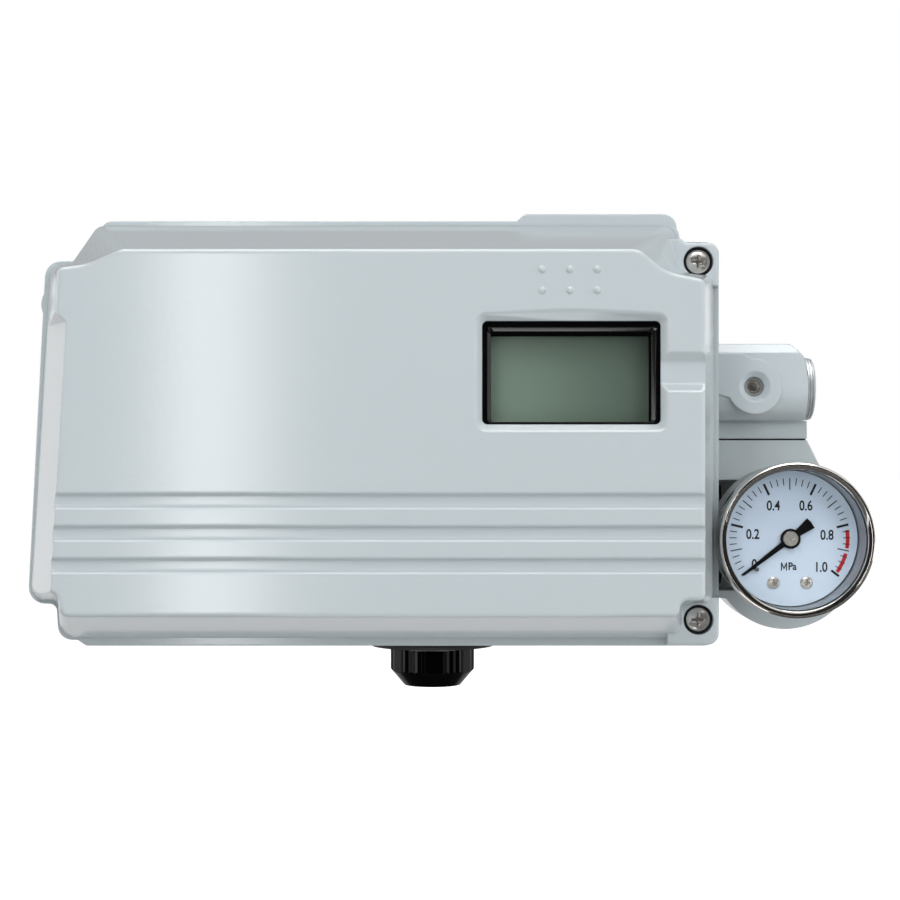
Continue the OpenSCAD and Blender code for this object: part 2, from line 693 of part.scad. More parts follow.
module clutch_spring() {
    color(STEEL) facing() translate([0, 0, gear_z + gear_t]) difference() {
        cylinder(h = spring_t, r1 = shaft_r + 4.5, r2 = shaft_r + 2.5);
        translate([0, 0, -1]) cylinder(h = spring_t + 2, r = shaft_r + touch);
    }
}

module clutch_wheel() {
    ribs = 24;
    color("#e0b92c") facing() translate([0, 0, gear_z + gear_t + spring_t]) difference() {
        linear_extrude(clutch_t) polygon([for (i = [0:ribs - 1], s = [0, 1, 2, 3])
            let (r = gear_r - (s < 2 ? 2 : 2.9), a = 360 * (i + [0.05, 0.45, 0.55,
                0.95][s]) / ribs) r * [cos(a), sin(a)]]);
        translate([0, 0, -1]) cylinder(h = clutch_t + 2, r = shaft_r + touch);
        translate([0, 0, clutch_t - 1.5]) difference() {
            cylinder(h = 5, r = gear_r - 4.4);
            translate([0, 0, -1]) cylinder(h = 9, r = shaft_r + 2.5);
        }
    }
}

module potentiometer_bracket() {
    color(STEEL) in_enclosure() difference() {
        union() {
            post(pot_at, bracket_z, bracket_z + bracket_t, 9);
            for (at = bracket_posts) hull() {
                post(at, bracket_z, bracket_z + bracket_t, 3.4, $fn = 32);
                post(pot_at, bracket_z, bracket_z + bracket_t, 5, $fn = 32);
            }
        }
        post(pot_at, bracket_z - 1, bracket_z + 5, 3);
        for (at = bracket_posts) post(at, bracket_z - 1, bracket_z + 5, board_screw_r + loose);
    }
}

module potentiometer() {
    color("#2b4f86") in_enclosure() {
        post(pot_at, bracket_z + bracket_t, bracket_z + bracket_t + pot_body_h, 8);
        post(pot_at, bracket_z + bracket_t + pot_body_h - eps, gear_z - 0.6, 3.4);
        for (i = [-1:1]) box(pot_at[0] + 7, pot_at[0] + 11, pot_at[1] + i * 4 - 0.6,
            pot_at[1] + i * 4 + 0.6,
            bracket_z + bracket_t + 1, bracket_z + bracket_t + 1.6);
    }
}

module potentiometer_pinion() {
    color("#d9d4c4") in_enclosure() translate([pot_at[0], pot_at[1], gear_z]) {
        rotate([0, 0, gear_angle + 180 + 180 / pinion_teeth]) linear_extrude(gear_t)
            polygon(teeth(pinion_teeth, gear_module, 1.1, 0, pinion_teeth - 1));
        translate([0, 0, gear_t - eps]) cylinder(h = 3, r = pinion_r - 1.6);
        translate([0, 0, -0.4]) cylinder(h = 0.4 + eps, r = pinion_r - 2);
    }
}

// Cable gland, hanging under the base

washer_t = 2.1;
collar_t = 0.5;
washer_y = gland_face_y - washer_t;
collar_y = washer_y - collar_t;
nut_gap = 0.1;
nut_h = 9.3;
nut_y = collar_y - nut_gap - nut_h;
gland_stem_r = gland_d / 2 - 3.4;
gland_inner_y = -hh + 6;

module gland_washer() {
    color(RUBBER) in_enclosure() difference() {
        union() {
            post_y([gland_x, gland_z], washer_y + 0.7, gland_face_y, 16);
            translate([gland_x, washer_y + 0.7 + eps, gland_z]) rotate([90, 0,
                0]) cylinder(h = 0.7 + eps, r1 = 16, r2 = 15.4);
        }
        post_y([gland_x, gland_z], washer_y - 1, gland_face_y + 1, gland_bore_r + touch);
    }
}

module gland_body() {
    color(BLACK) in_enclosure() difference() {
        union() {
            post_y([gland_x, gland_z], collar_y, washer_y, gland_d / 2);
            post_y([gland_x, gland_z], washer_y - eps, gland_inner_y + 7, gland_bore_r);
            post_y([gland_x, gland_z], nut_y + 3.2, collar_y + eps, gland_stem_r);
        }
        post_y([gland_x, gland_z], nut_y, gland_inner_y + 8, cable_d / 2 + 1);
    }
}

// Ribbed cap nut with six flats and a tapered end
module gland_nut() {
    color(BLACK) in_enclosure() difference() {
        intersection() {
            translate([gland_x, nut_y + nut_h, gland_z]) rotate([90, 0, 0]) union() {
                translate([0, 0, nut_h - 4]) cylinder(h = 4, r1 = gland_d / 2, r2 = gland_d / 2 - 3.4);
                cylinder(h = nut_h - 4 + eps, r = gland_d / 2);
            }
            translate([gland_x, nut_y + nut_h + 1, gland_z]) rotate([90, 0, 0]) linear_extrude(nut_h + 2)
                polygon([for (side = [0:5], k = [0:12])
                    let (a = 60 * side + 5 * k, flat = gland_d / 2 * 0.95,
                         corner = gland_d / 2 - (k % 2 == 0 ? 0 : 0.35), r = min(flat / cos(5 * k - 30),
                             corner))
                    r * [cos(a), sin(a)]]);
        }
        post_y([gland_x, gland_z], nut_y + 3, nut_y + nut_h + 1, gland_stem_r + loose);
        post_y([gland_x, gland_z], nut_y - 1, nut_y + 4, cable_d / 2 + 2);
    }
}

module gland_seal() {
    color(RUBBER) in_enclosure() difference() {
        post_y([gland_x, gland_z], nut_y + 0.6, nut_y + 3.1, cable_d / 2 + 2 - touch);
        post_y([gland_x, gland_z], nut_y - 1, nut_y + 5, cable_d / 2);
    }
}

module gland_locknut() {
    color(BLACK) in_enclosure() difference() {
        translate([gland_x, gland_inner_y + 4.5, gland_z]) rotate([90, 0, 0]) cylinder(h = 4.4,
            r = gland_bore_r + 3.5, $fn = 6);
        post_y([gland_x, gland_z], gland_inner_y - 3, gland_inner_y + 8, gland_bore_r + touch);
    }
}

// Pneumatic blocks on the right-hand side

gasket_side_t = 1;
block_x = side_x + gasket_side_t;
block_right = side_x + block_w;
block_top = 22.5;
port_r = 8;
port_face_z = port_z + port_r - 0.05;
port_bush_r = port_d / 2 + 1.6;
port_bush_len = 9;
restrictor_at = [hw + 11.2, 11.8];
restrictor_r = 2.4;
restrictor_boss_r = 6.8;
restrictor_face_z = port_face_z + 0.45;
seam_y = -1.3;
block_gap = 0.4;
foot_w = 1.5;
gauge_x = hw + 17.65;
gauge_block_right = side_x + gauge_block_w;
boss_at = [gauge_x + 2.8, gauge_y - 5.7];
boss_r = 18.3;
pocket_x = block_x + 2.5;

module block_gasket() {
    color(RUBBER) in_enclosure() difference() {
        union() {
            box(side_x, block_x, -41.2, block_top - 0.2, block_back_z + 0.3, block_face_z - 0.3);
            // sheet in the joint between the two blocks
            box(block_x - eps, block_right + foot_w - 0.3, seam_y - block_gap / 2 + touch,
                seam_y + block_gap / 2 - touch,
                block_back_z + 0.3, block_face_z - 0.3);
        }
        for (at = concat(port_screw_at, gauge_screw_at)) post_x(at, side_x - 1, block_x + 1,
            block_screw_r + loose);
        for (at = [[port_y, passage_z], [supply_y, supply_z]]) post_x(at, side_x - 1, block_x + 1, 2.5);
    }
}

// The port block's upper part in section, height across and depth up, above the port's barrel
module port_block_section() {
    chamfer = 2.3;
    polygon([[port_y - 5, block_back_z], [block_top, block_back_z], [block_top, port_face_z - chamfer],
        [block_top - chamfer, port_face_z], [port_y, port_face_z]]);
}

module port_block() {
    color(PAINT) in_enclosure() difference() {
        union() {
            intersection() {
                union() {
                    translate([block_x, 0, 0]) rotate([90, 0,
                        90]) linear_extrude(block_right - block_x) port_block_section();
                    post_x([port_y, port_z], block_x, block_right, port_r);
                }
                slab(rounded([[block_x - 1, block_top + 0.1, 0.2], [block_right - 4.3, block_top + 0.1,
                    2], [block_right - 1, block_top - 3.3, 3],
                    [block_right, block_top - 9, 4], [block_right, port_y - port_r - 1, 0.2],
                    [block_x - 1, port_y - port_r - 1, 0.2]]), 0, port_z + port_r + 1);
            }
            box(block_x, block_right, seam_y + block_gap / 2, port_y, block_back_z, block_face_z);
            box(block_right - 1, block_right + foot_w, seam_y + block_gap / 2, port_y - port_r,
                block_back_z, block_face_z);
            // round boss of the restrictor, carried across to the side wall
            post(restrictor_at, block_face_z, restrictor_face_z, restrictor_boss_r);
            slab(rounded([[block_x, block_top - 2.5, 0.2], [restrictor_at[0], block_top - 2.5, 5],
                [restrictor_at[0] + 1, restrictor_at[1], 0.2],
                [restrictor_at[0] - 5, restrictor_at[1] - 3.2, 0.2], [block_x + 1.9,
                    restrictor_at[1] - 1.4, 1.6],
                [block_x, restrictor_at[1] - 1.4, 0.2]]), block_face_z, restrictor_face_z);
        }
        post_x([port_y, port_z], block_right - port_bush_len, block_right + 1, port_bush_r);
        post_x([port_y, port_z], restrictor_at[0] - 2, block_right, port_d / 2 - 1.5);
        post_x([port_y, passage_z], block_x - 1, restrictor_at[0], 2.5);
        post(restrictor_at, passage_z - 1, restrictor_face_z + 1, restrictor_r + fit);
        translate([restrictor_at[0], restrictor_at[1], restrictor_face_z - 1.5]) cylinder(h = 1.5 + eps,
            r1 = restrictor_r + fit, r2 = 3.9);
        for (at = port_screw_at) post_x(at, block_x - 1, block_x + 9, block_screw_r + fit);
    }
}

module gauge_block() {
    color(PAINT) in_enclosure() difference() {
        union() {
            slab(rounded([[block_x, seam_y - block_gap / 2, 0.2], [block_right + foot_w,
                seam_y - block_gap / 2, 0.3], [block_right + 4.2, seam_y - 5.6, 6],
                [gauge_block_right - 2.5, seam_y - 11, 3], [gauge_block_right, seam_y - 16, 4],
                    [gauge_block_right, gauge_y - 12, 6],
                [boss_at[0], boss_at[1], 1], [block_x, gauge_y - 16, 0.3]]), block_back_z, block_face_z);
            post(boss_at, block_back_z, block_face_z, boss_r);
            // web between the round end and the side wall, with a hollow fillet under it
            slab(rounded([[block_x, gauge_y - 10, 0.2], [boss_at[0], gauge_y - 10, 0.2],
                [boss_at[0] - 11, gauge_y - 20.4, 0.2],
                [block_x + 7.4, gauge_y - 16.1, 4], [block_x, gauge_y - 16.1, 0.2]]), block_back_z,
                    block_face_z);
        }
        slab(rounded(round_box([pocket_x + 7, gauge_y - 0.2], 14, 28, 1)), block_back_z + 3,
            block_face_z + 1);
        post([gauge_x, gauge_y], block_back_z + 4, block_face_z + 1, 5 + fit);
        box(gauge_block_right, gauge_block_right + boss_r, boss_at[1] - boss_r - 1, 0, 0, base_depth);
        post_x([supply_y, supply_z], gauge_block_right - port_bush_len, gauge_block_right + 1, port_bush_r);
        post_x([supply_y, supply_z], gauge_x, gauge_block_right, port_d / 2 - 1.5);
        for (at = gauge_screw_at) post_x(at, block_x - 1, pocket_x + 1, block_screw_r + loose);
        post([boss_at[0] + 2, boss_at[1] - 8], block_back_z - 1, block_back_z + 3, 4);
    }
}

// Socket-head screw along x, head towards +x when sense is 1
module socket_screw_x(at, x, sense, length) {
    translate([x, at[0], at[1]]) rotate([0, 90 * sense, 0]) difference() {
        union() {
            cylinder(h = 4, r = 3.5);
            translate([0, 0, -length]) cylinder(h = length + eps, r = block_screw_r);
        }
        translate([0, 0, 2]) cylinder(h = 3, r = 1.75, $fn = 6);
    }
}

module block_screws() {
    color("#3a3b3d") in_enclosure() {
        for (at = gauge_screw_at) socket_screw_x(at, pocket_x, 1, pocket_x - cavity_right + 3);
        for (at = port_screw_at) socket_screw_x(at, cavity_right, -1, block_x + 7 - cavity_right);
    }
}

module port_bush(at, x) {
    translate([x, at[0], at[1]]) rotate([0, 90, 0]) rotate_extrude()
        polygon(concat([[port_d / 2, -port_bush_len + 0.5], [port_bush_r - touch, -port_bush_len + 0.5],
            [port_bush_r - touch, 0]],
            [for (ring = [0, 1], step = [[0.6, 0.05], [0.6, 0.45], [0.25, 0.55], [0.25, 0.65]])
                [port_bush_r + step[0] - 0.1 * ring, 0.7 * ring + step[1]]],
            [[port_bush_r + 0.4, 1.4], [port_bush_r + 0.3, 1.75], [port_bush_r - 0.2, 2.05],
                [port_bush_r - 0.8, bush_flange],
             [port_d / 2 + 0.4, bush_flange], [port_d / 2, bush_flange - 0.4]]));
}

module output_port_bush() { color(STEEL) in_enclosure() port_bush([port_y, port_z], block_right); }
module supply_port_bush() { color(STEEL) in_enclosure() port_bush([supply_y, supply_z],
    gauge_block_right); }

module supply_filter() {
    color("#b08d4a") in_enclosure() post_x([supply_y, supply_z], gauge_block_right - port_bush_len - 2.2,
        gauge_block_right - port_bush_len + 0.4, port_d / 2 - 1.5 - touch);
}

module restrictor_screw() {
    color("#8f9092") in_enclosure() translate([restrictor_at[0], restrictor_at[1],
        port_z - 4]) difference() {
        union() {
            cylinder(h = restrictor_face_z - 2.5 - port_z + 4, r = restrictor_r);
            translate([0, 0, restrictor_face_z - 2.5 - port_z + 4 - eps]) cylinder(h = 0.5,
                r1 = restrictor_r, r2 = restrictor_r - 0.6);
        }
        translate([0, 0, restrictor_face_z - 4.5 - port_z + 4]) cylinder(h = 6, r = 1.3, $fn = 6);
        translate([0, 0, 6.4]) difference() {
            cylinder(h = 1.4, r = 4);
            translate([0, 0, -1]) cylinder(h = 4, r = restrictor_r - 0.7);
        }
    }
}

module restrictor_ring() {
    color(RUBBER) in_enclosure() translate([restrictor_at[0], restrictor_at[1],
        port_z + 2.4 + touch]) difference() {
        cylinder(h = 1.4 - 2 * touch, r = restrictor_r + fit - touch);
        translate([0, 0, -1]) cylinder(h = 4, r = restrictor_r - 0.7 + touch);
    }
}

// Pilot valve unit inside the base, behind the electronics
pilot_z = floor_z + 3;
pilot_w = 30;
pilot_h = 32;
pilot_t = 13;
pilot_ear = 4;
pilot_shift = 7;
pilot_recess_r = 5;
pilot_screw_grip = 5;
bracket_screw_len = 6;
pilot_at = [carrier_at[0] + pilot_shift, carrier_at[1]];
pilot_posts = [for (s = [1, -1]) pilot_at + [-pilot_w / 2 + pilot_ear, s * (pilot_h / 2 + pilot_ear)]];

module pilot_valve() {
    color("#9ba1a4") in_enclosure() difference() {
        union() {
            box(pilot_at[0] - pilot_w / 2, pilot_at[0] + pilot_w / 2, pilot_at[1] - pilot_h / 2,
                pilot_at[1] + pilot_h / 2, pilot_z, pilot_z + pilot_t);
            for (at = pilot_posts) post(at, pilot_z, pilot_z + pilot_ear, pilot_ear);
            for (at = pilot_posts) box(at[0] - pilot_ear, at[0] + pilot_ear, min(at[1], pilot_at[1]),
                max(at[1], pilot_at[1]),
                pilot_z, pilot_z + pilot_ear);
        }
        for (at = pilot_posts) post(at, pilot_z - 1, pilot_z + pilot_ear + 2, board_screw_r + loose);
        for (i = [-1, 1]) post([pilot_at[0] + pilot_recess_r + 1, pilot_at[1] + i * pilot_h / 4],
            pilot_z + pilot_t - 3,
            pilot_z + pilot_t + 7, pilot_recess_r);
    }
}

module pilot_valve_screws() {
    color(STEEL) in_enclosure() {
        for (at = pilot_posts) small_screw(at, pilot_z + pilot_ear, pilot_ear + pilot_screw_grip);
        for (at = bracket_posts) small_screw(at, bracket_z + bracket_t, bracket_screw_len);
    }
}

module exhaust_silencer() {
    color("#b08d4a") in_enclosure() post([boss_at[0] + 2, boss_at[1] - 8], block_back_z - 0.6,
        block_back_z + 3 - touch, 4 - touch);
}

// Pressure gauge

gauge_at = [gauge_x, gauge_y];
bezel_r = bezel_d / 2;
bezel_front_z = base_depth + 8.2;
dial_t = 0.6;
dial_z = bezel_front_z - 12;
lens_seat_z = bezel_front_z - 2.6;
case_back_z = dial_z - 15.5;
case_r = bezel_r - 1.1;
case_wall = 0.8;
lens_r = case_r - case_wall - touch;
dial_r = lens_r - 0.2;
needle_zero = 90 + needle_sweep / 2;
sector_ratio = 6;
gauge_module = 0.25;
gauge_pinion_n = 14;
gauge_pinion_r = gauge_module * gauge_pinion_n / 2;
sector_r = gauge_pinion_r * sector_ratio;
sector_dir = 270;
sector_pivot = (sector_r + gauge_pinion_r) * [cos(sector_dir), sin(sector_dir)];
sector_z = dial_z - 5;
sector_t = 1.2;
plate_z = dial_z - 8;

module on_gauge(z) { in_enclosure() translate([gauge_x, gauge_y, z]) children(); }

module gauge_socket() {
    color(BRASS) on_gauge(0) difference() {
        union() {
            translate([0, 0, block_back_z + 5]) cylinder(h = block_face_z - block_back_z - 4, r = 5);
            translate([0, 0, block_face_z + touch]) cylinder(h = 6, r = 8, $fn = 6);
            translate([0, 0, block_face_z + 5]) cylinder(h = plate_z - block_face_z - 5, r = 4.2);
        }
        translate([0, 0, block_back_z]) cylinder(h = plate_z - block_back_z - 5, r = 1.5);
        translate([0, 0, plate_z - 1.2]) cylinder(h = 2, r = 0.9);
    }
}

module gauge_case() {
    color(STEEL) on_gauge(0) difference() {
        translate([0, 0, case_back_z]) union() {
            translate([0, 0, 1.5]) cylinder(h = lens_seat_z - case_back_z - 1.5, r = case_r);
            cylinder(h = 1.5 + eps, r1 = case_r - 1.5, r2 = case_r);
        }
        translate([0, 0, case_back_z + case_wall]) cylinder(h = 40, r = case_r - case_wall);
        translate([0, 0, case_back_z - 1]) cylinder(h = 5, r = 4.2 + touch);
    }
}

module gauge_bezel() {
    rim = 1.7;
    bead = 1;
    color(STEEL) on_gauge(bezel_front_z - 7.7) rotate_extrude($fn = 96)
        polygon(concat([[case_r + touch, 0], [bezel_r - 0.3, 0], [bezel_r, 0.4]],
            [for (a = [0:15:90]) [bezel_r - bead + bead * cos(a), 7.7 - bead + bead * sin(a)]],
            [[bezel_r - rim + 0.3, 7.5], [bezel_r - rim, 7.1], [bezel_r - rim, 6.6], [case_r + touch,
                6.6]]));
}

module gauge_lens() {
    color("#e6eef0", 0.35) on_gauge(lens_seat_z) cylinder(h = 1.45, r = case_r - touch);
}

dial_screw_at = [[-4, -10.7], [4, -10.7]];

module gauge_dial() {
    color("#d3e2f0") on_gauge(dial_z - dial_t) difference() {
        cylinder(h = dial_t, r = dial_r);
        translate([0, 0, -1]) cylinder(h = 3, r = 1.3);
        for (at = dial_screw_at) translate([at[0], at[1], -1]) cylinder(h = 3, r = 0.75);
        translate([stop_at[0], stop_at[1], -1]) cylinder(h = 3, r = stop_r + touch);
    }
}

module dial_screws() {
    color(STEEL) on_gauge(dial_z) for (at = dial_screw_at) translate([at[0], at[1], 0]) {
        cross_head(1.5, 0.9);
        translate([0, 0, plate_z + 1 - dial_z - eps]) cylinder(h = dial_z - plate_z - 1 + 2 * eps, r = 0.7);
    }
}

stop_r = 0.5;
stop_at = 11 * [cos(needle_zero + 4.9), sin(needle_zero + 4.9)];

module needle_stop() {
    color(STEEL) on_gauge(dial_z - dial_t) translate([stop_at[0], stop_at[1], 0]) {
        cylinder(h = dial_t + 1.4, r = stop_r);
        translate([0, 0, dial_t + 1.4 - eps]) cylinder(h = 0.2, r1 = stop_r, r2 = stop_r - 0.2);
    }
}

needle_z = dial_z + 0.7;
needle_len = dial_r - 2;

module gauge_needle() {
    color(BLACK) on_gauge(needle_z) rotate([0, 0, needle_zero]) difference() {
        union() {
            linear_extrude(0.5) polygon([[needle_len, 0.28], [needle_len, -0.28], [1.5, -0.7], [-1.5,
                -0.75], [-6.2, -1.45], [-6.4, 0],
                [-6.2, 1.45], [-1.5, 0.75], [1.5, 0.7]]);
            cylinder(h = 0.7, r = 2.4);
        }
        translate([0, 0, -1]) cylinder(h = 3, r = 0.8);
    }
}

module needle_hub() {
    color(STEEL) on_gauge(needle_z) difference() {
        union() {
            translate([0, 0, 0.7]) cylinder(h = 0.6, r1 = 1.9, r2 = 1.7);
            translate([0, 0, 0]) cylinder(h = 0.7 + eps, r = 0.8 - touch);
        }
        translate([0, 0, 1]) cylinder(h = 1, r = 0.25);
    }
}

module bourdon_tube() {
    color(BRASS) on_gauge(case_back_z + 4) union() {
        rotate([0, 0, -60]) rotate_extrude(angle = 250) translate([11.6, -1.6]) square([1.4, 3.2]);
        rotate([0, 0, -60]) translate([4.2 + touch, -1.4, -1.6]) cube([7.6, 1.4, 3.2]);
        rotate([0, 0, 190]) translate([11.4, 0, -1.9]) cube([1.8, 1.6, 3.8]);
    }
}

module movement_plate() {
    color(BRASS) on_gauge(0) difference() {
        union() {
            translate([-6, -13.9, plate_z]) cube([12, 18.1, 1]);
            translate([sector_pivot[0], sector_pivot[1], plate_z]) cylinder(h = sector_z - plate_z - 0.1,
                r = 1.5);
            translate([sector_pivot[0], sector_pivot[1], plate_z]) cylinder(h = dial_z - dial_t -
                plate_z - 0.4, r = 0.6);
        }
        translate([0, 0, plate_z - 1]) cylinder(h = 3, r = 0.6 + fit);
        for (at = dial_screw_at) translate([at[0], at[1], plate_z - 1]) cylinder(h = 3, r = 0.7 + fit);
    }
}

module gauge_pinion() {
    color(BRASS) on_gauge(0) {
        translate([0, 0, plate_z - 0.8]) cylinder(h = needle_z - plate_z + 0.8 - touch, r = 0.6);
        translate([0, 0, sector_z - 0.3]) rotate([0, 0, sector_dir + 180 / gauge_pinion_n])
            linear_extrude(sector_t + 0.6)
            polygon(teeth(gauge_pinion_n, gauge_module, 1.6, 0, gauge_pinion_n - 1));
    }
}

module gauge_sector() {
    n = gauge_pinion_n * sector_ratio;
    swing = needle_sweep / sector_ratio;
    reach = 2;
    first = -reach;
    last = ceil(swing * n / 360) + reach;
    rim = teeth(n, gauge_module, 0.3, first, last);
    root = sector_r - 1.05 * gauge_module;
    a0 = 360 * (first - 0.5) / n;
    a1 = 360 * (last + 0.5) / n;
    color(BRASS) on_gauge(sector_z) translate([sector_pivot[0], sector_pivot[1], 0]) mirror([1, 0, 0])
        rotate([0, 0, 90]) difference() {
            union() {
                linear_extrude(sector_t) polygon(concat(rim, [root * [cos(a1), sin(a1)]],
                    [for (k = [6:-1:0]) let (a = a0 + (a1 - a0) * k / 6) (root - 1.6) * [cos(a), sin(a)]],
                    [root * [cos(a0), sin(a0)]]));
                rotate([0, 0, (a0 + a1) / 2]) translate([0, -1.3, 0]) cube([root - 1, 2.6, sector_t]);
                cylinder(h = sector_t, r = 2);
            }
            translate([0, 0, -1]) cylinder(h = 4, r = 0.6 + fit);
        }
}

base_housing();
front_cover();
cover_gasket();
cover_screws();
cover_screw_seals();
window_frame();
window_lens();
display_panel();
display_holder();
electronics_carrier();
circuit_board();
board_screws();
button_left();
button_middle();
button_right();
button_switches();
terminal_block();
terminal_screws();
earth_screw();
feedback_shaft();
shaft_bushes();
shaft_seal();
shaft_clip();
shaft_gear();
clutch_spring();
clutch_wheel();
potentiometer();
potentiometer_bracket();
potentiometer_pinion();
gland_washer();
gland_body();
gland_nut();
gland_seal();
gland_locknut();
port_block();
gauge_block();
block_gasket();
block_screws();
output_port_bush();
supply_port_bush();
supply_filter();
restrictor_screw();
restrictor_ring();
pilot_valve();
pilot_valve_screws();
exhaust_silencer();
gauge_socket();
gauge_case();
gauge_bezel();
gauge_lens();
gauge_dial();
dial_screws();
needle_stop();
gauge_needle();
needle_hub();
bourdon_tube();
movement_plate();
gauge_sector();
gauge_pinion();
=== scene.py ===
import json
import math

import bmesh
import bpy
from mathutils import Matrix, Vector


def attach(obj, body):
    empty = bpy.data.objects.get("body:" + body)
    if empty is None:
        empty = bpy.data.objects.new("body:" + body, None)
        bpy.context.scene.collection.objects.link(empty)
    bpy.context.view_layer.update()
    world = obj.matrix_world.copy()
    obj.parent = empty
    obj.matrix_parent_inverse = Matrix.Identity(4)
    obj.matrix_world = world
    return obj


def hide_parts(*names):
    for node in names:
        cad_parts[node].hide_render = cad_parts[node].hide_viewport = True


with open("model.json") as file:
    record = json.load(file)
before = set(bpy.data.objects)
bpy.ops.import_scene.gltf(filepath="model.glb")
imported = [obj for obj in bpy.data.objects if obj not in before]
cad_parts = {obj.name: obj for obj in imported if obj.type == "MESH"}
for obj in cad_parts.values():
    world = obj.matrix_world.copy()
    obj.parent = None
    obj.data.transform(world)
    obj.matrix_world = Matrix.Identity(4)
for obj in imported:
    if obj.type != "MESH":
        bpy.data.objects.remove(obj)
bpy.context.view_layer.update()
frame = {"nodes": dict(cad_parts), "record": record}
nodes = frame["nodes"]
scene = bpy.context.scene
scene.view_settings.view_transform = "Standard"
mm = 0.001
quarterTurn = math.radians(90)
shaftOffset = 35.0  # millimetres from the feedback shaft to the middle of the enclosure
gaugeAxis = (100.65, -25.4)
dialLevel = 44.2
windowMiddle = 45.9
displayPlace = (windowMiddle, 12.2, 68.2)
print("frame loaded with", len(nodes), "nodes")

# camera, square on to the cover at about half a metre
cameraSet = {"place": (0.05344, -0.52825, -0.00398), "lens": 79.95, "sensor": 36.0}
cameraData = bpy.data.cameras.new("frontCamera")
cameraData.lens = cameraSet["lens"]
cameraData.sensor_width = cameraSet["sensor"]
camera = bpy.data.objects.new("frontCamera", cameraData)
camera.location = cameraSet["place"]
camera.rotation_euler = (quarterTurn, 0, 0)
scene.collection.objects.link(camera)
scene.camera = camera


# face-on drawing to the standing part: x right, y up and z towards the viewer, in millimetres
def standAt(x, y, z):
    place = Matrix.Translation(((x + shaftOffset) * mm, -z * mm, y * mm))
    return place @ Matrix.Rotation(quarterTurn, 4, "X") @ Matrix.Scale(mm, 4)


def addPiece(name, shape, body, slot, materials, *stoodFor, smoothAngle=35):
    mesh = bpy.data.meshes.new(name)
    shape.to_mesh(mesh)
    shape.free()
    for material in materials:
        mesh.materials.append(material)
    mesh.shade_smooth()
    mesh.set_sharp_from_angle(angle=math.radians(smoothAngle))
    piece = bpy.data.objects.new(name, mesh)
    scene.collection.objects.link(piece)
    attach(piece, body)
    if stoodFor:
        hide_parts(*stoodFor)
    return piece


# shared effects as node groups, with sizes in grains to the metre
effects = {"peelSize": 700.0, "dustSize": 5200.0, "dustShare": 0.12, "driftSize": 22.0,
           "grainSize": 3000.0, "cloudSize": 90.0, "smearSize": 160.0, "cellSize": 2600.0,
           "drawnMarks": (4000.0, 120.0, 4000.0), "turnedMarks": (900.0, 6000.0, 900.0),
           "plainMarks": (2200.0, 120.0, 2200.0), "sawnMarks": (260.0, 5200.0, 5200.0),
           "softMarks": (500.0, 80.0, 500.0), "noiseRange": (0.25, 0.75), "edgeSamples": 6}


def startGroup(name, inputs, outputs):
    group = bpy.data.node_groups.new(name, "ShaderNodeTree")
    for label, value in inputs.items():
        kind = "NodeSocketVector" if isinstance(value, tuple) else "NodeSocketFloat"
        socket = group.interface.new_socket(label, in_out="INPUT", socket_type=kind)
        socket.default_value = value
    for label in outputs:
        group.interface.new_socket(label, in_out="OUTPUT", socket_type="NodeSocketFloat")
    place = group.nodes.new("ShaderNodeTexCoord").outputs["Object"]
    return group, place, group.nodes.new("NodeGroupInput").outputs


def finishGroup(group, **values):
    end = group.nodes.new("NodeGroupOutput")
    for label, value in values.items():
        group.links.new(value, end.inputs[label])
    return group


# a socket takes either a link from another socket or a plain value
def feed(tree, socket, value):
    if isinstance(value, bpy.types.NodeSocket):
        tree.links.new(value, socket)
    else:
        socket.default_value = value


def addMath(tree, operation, *values):
    node = tree.nodes.new("ShaderNodeMath")
    node.operation = operation
    for socket, value in zip(node.inputs, values):
        feed(tree, socket, value)
    return node.outputs[0]


def addNoise(tree, vector, scale, detail, rough):
    node = tree.nodes.new("ShaderNodeTexNoise")
    node.inputs["Detail"].default_value = detail
    node.inputs["Roughness"].default_value = rough
    feed(tree, node.inputs["Scale"], scale)
    tree.links.new(vector, node.inputs["Vector"])
    return node.outputs["Fac"]


# gloss coat on a casting: rounded orange peel, fine dust in the film and a slow drift of tone
def makeOrangePeel():
    sizes = {"Peel Size": effects["peelSize"], "Dust Size": effects["dustSize"]}
    group, place, given = startGroup("orangePeel", sizes, ("Height", "Drift", "Dust"))
    peel = addNoise(group, place, given["Peel Size"], detail=1.0, rough=0.4)
    dust = addNoise(group, place, given["Dust Size"], detail=2.0, rough=0.6)
    drift = addNoise(group, place, effects["driftSize"], detail=3.0, rough=0.5)
    height = addMath(group, "MULTIPLY_ADD", dust, effects["dustShare"], peel)
    return finishGroup(group, Height=height, Drift=drift, Dust=dust)


# moulded plastic and rubber: fine spark grain with slow changes of sheen
def makeMouldGrain():
    sizes = {"Grain Size": effects["grainSize"]}
    group, place, given = startGroup("mouldGrain", sizes, ("Height", "Cloud"))
    grain = addNoise(group, place, given["Grain Size"], detail=3.0, rough=0.65)
    cloud = addNoise(group, place, effects["cloudSize"], detail=3.0, rough=0.55)
    return finishGroup(group, Height=grain, Cloud=cloud)


# fine tool marks: noise drawn out by stretching the coordinates
def makeToolMarks():
    group, place, given = startGroup("toolMarks", {"Stretch": effects["drawnMarks"]}, ("Height", "Smear"))
    stretch = group.nodes.new("ShaderNodeVectorMath")
    stretch.operation = "MULTIPLY"
    group.links.new(place, stretch.inputs[0])
    group.links.new(given["Stretch"], stretch.inputs[1])
    marks = addNoise(group, stretch.outputs[0], 1.0, detail=3.0, rough=0.6)
    smear = addNoise(group, place, effects["smearSize"], detail=3.0, rough=0.55)
    return finishGroup(group, Height=marks, Smear=smear)


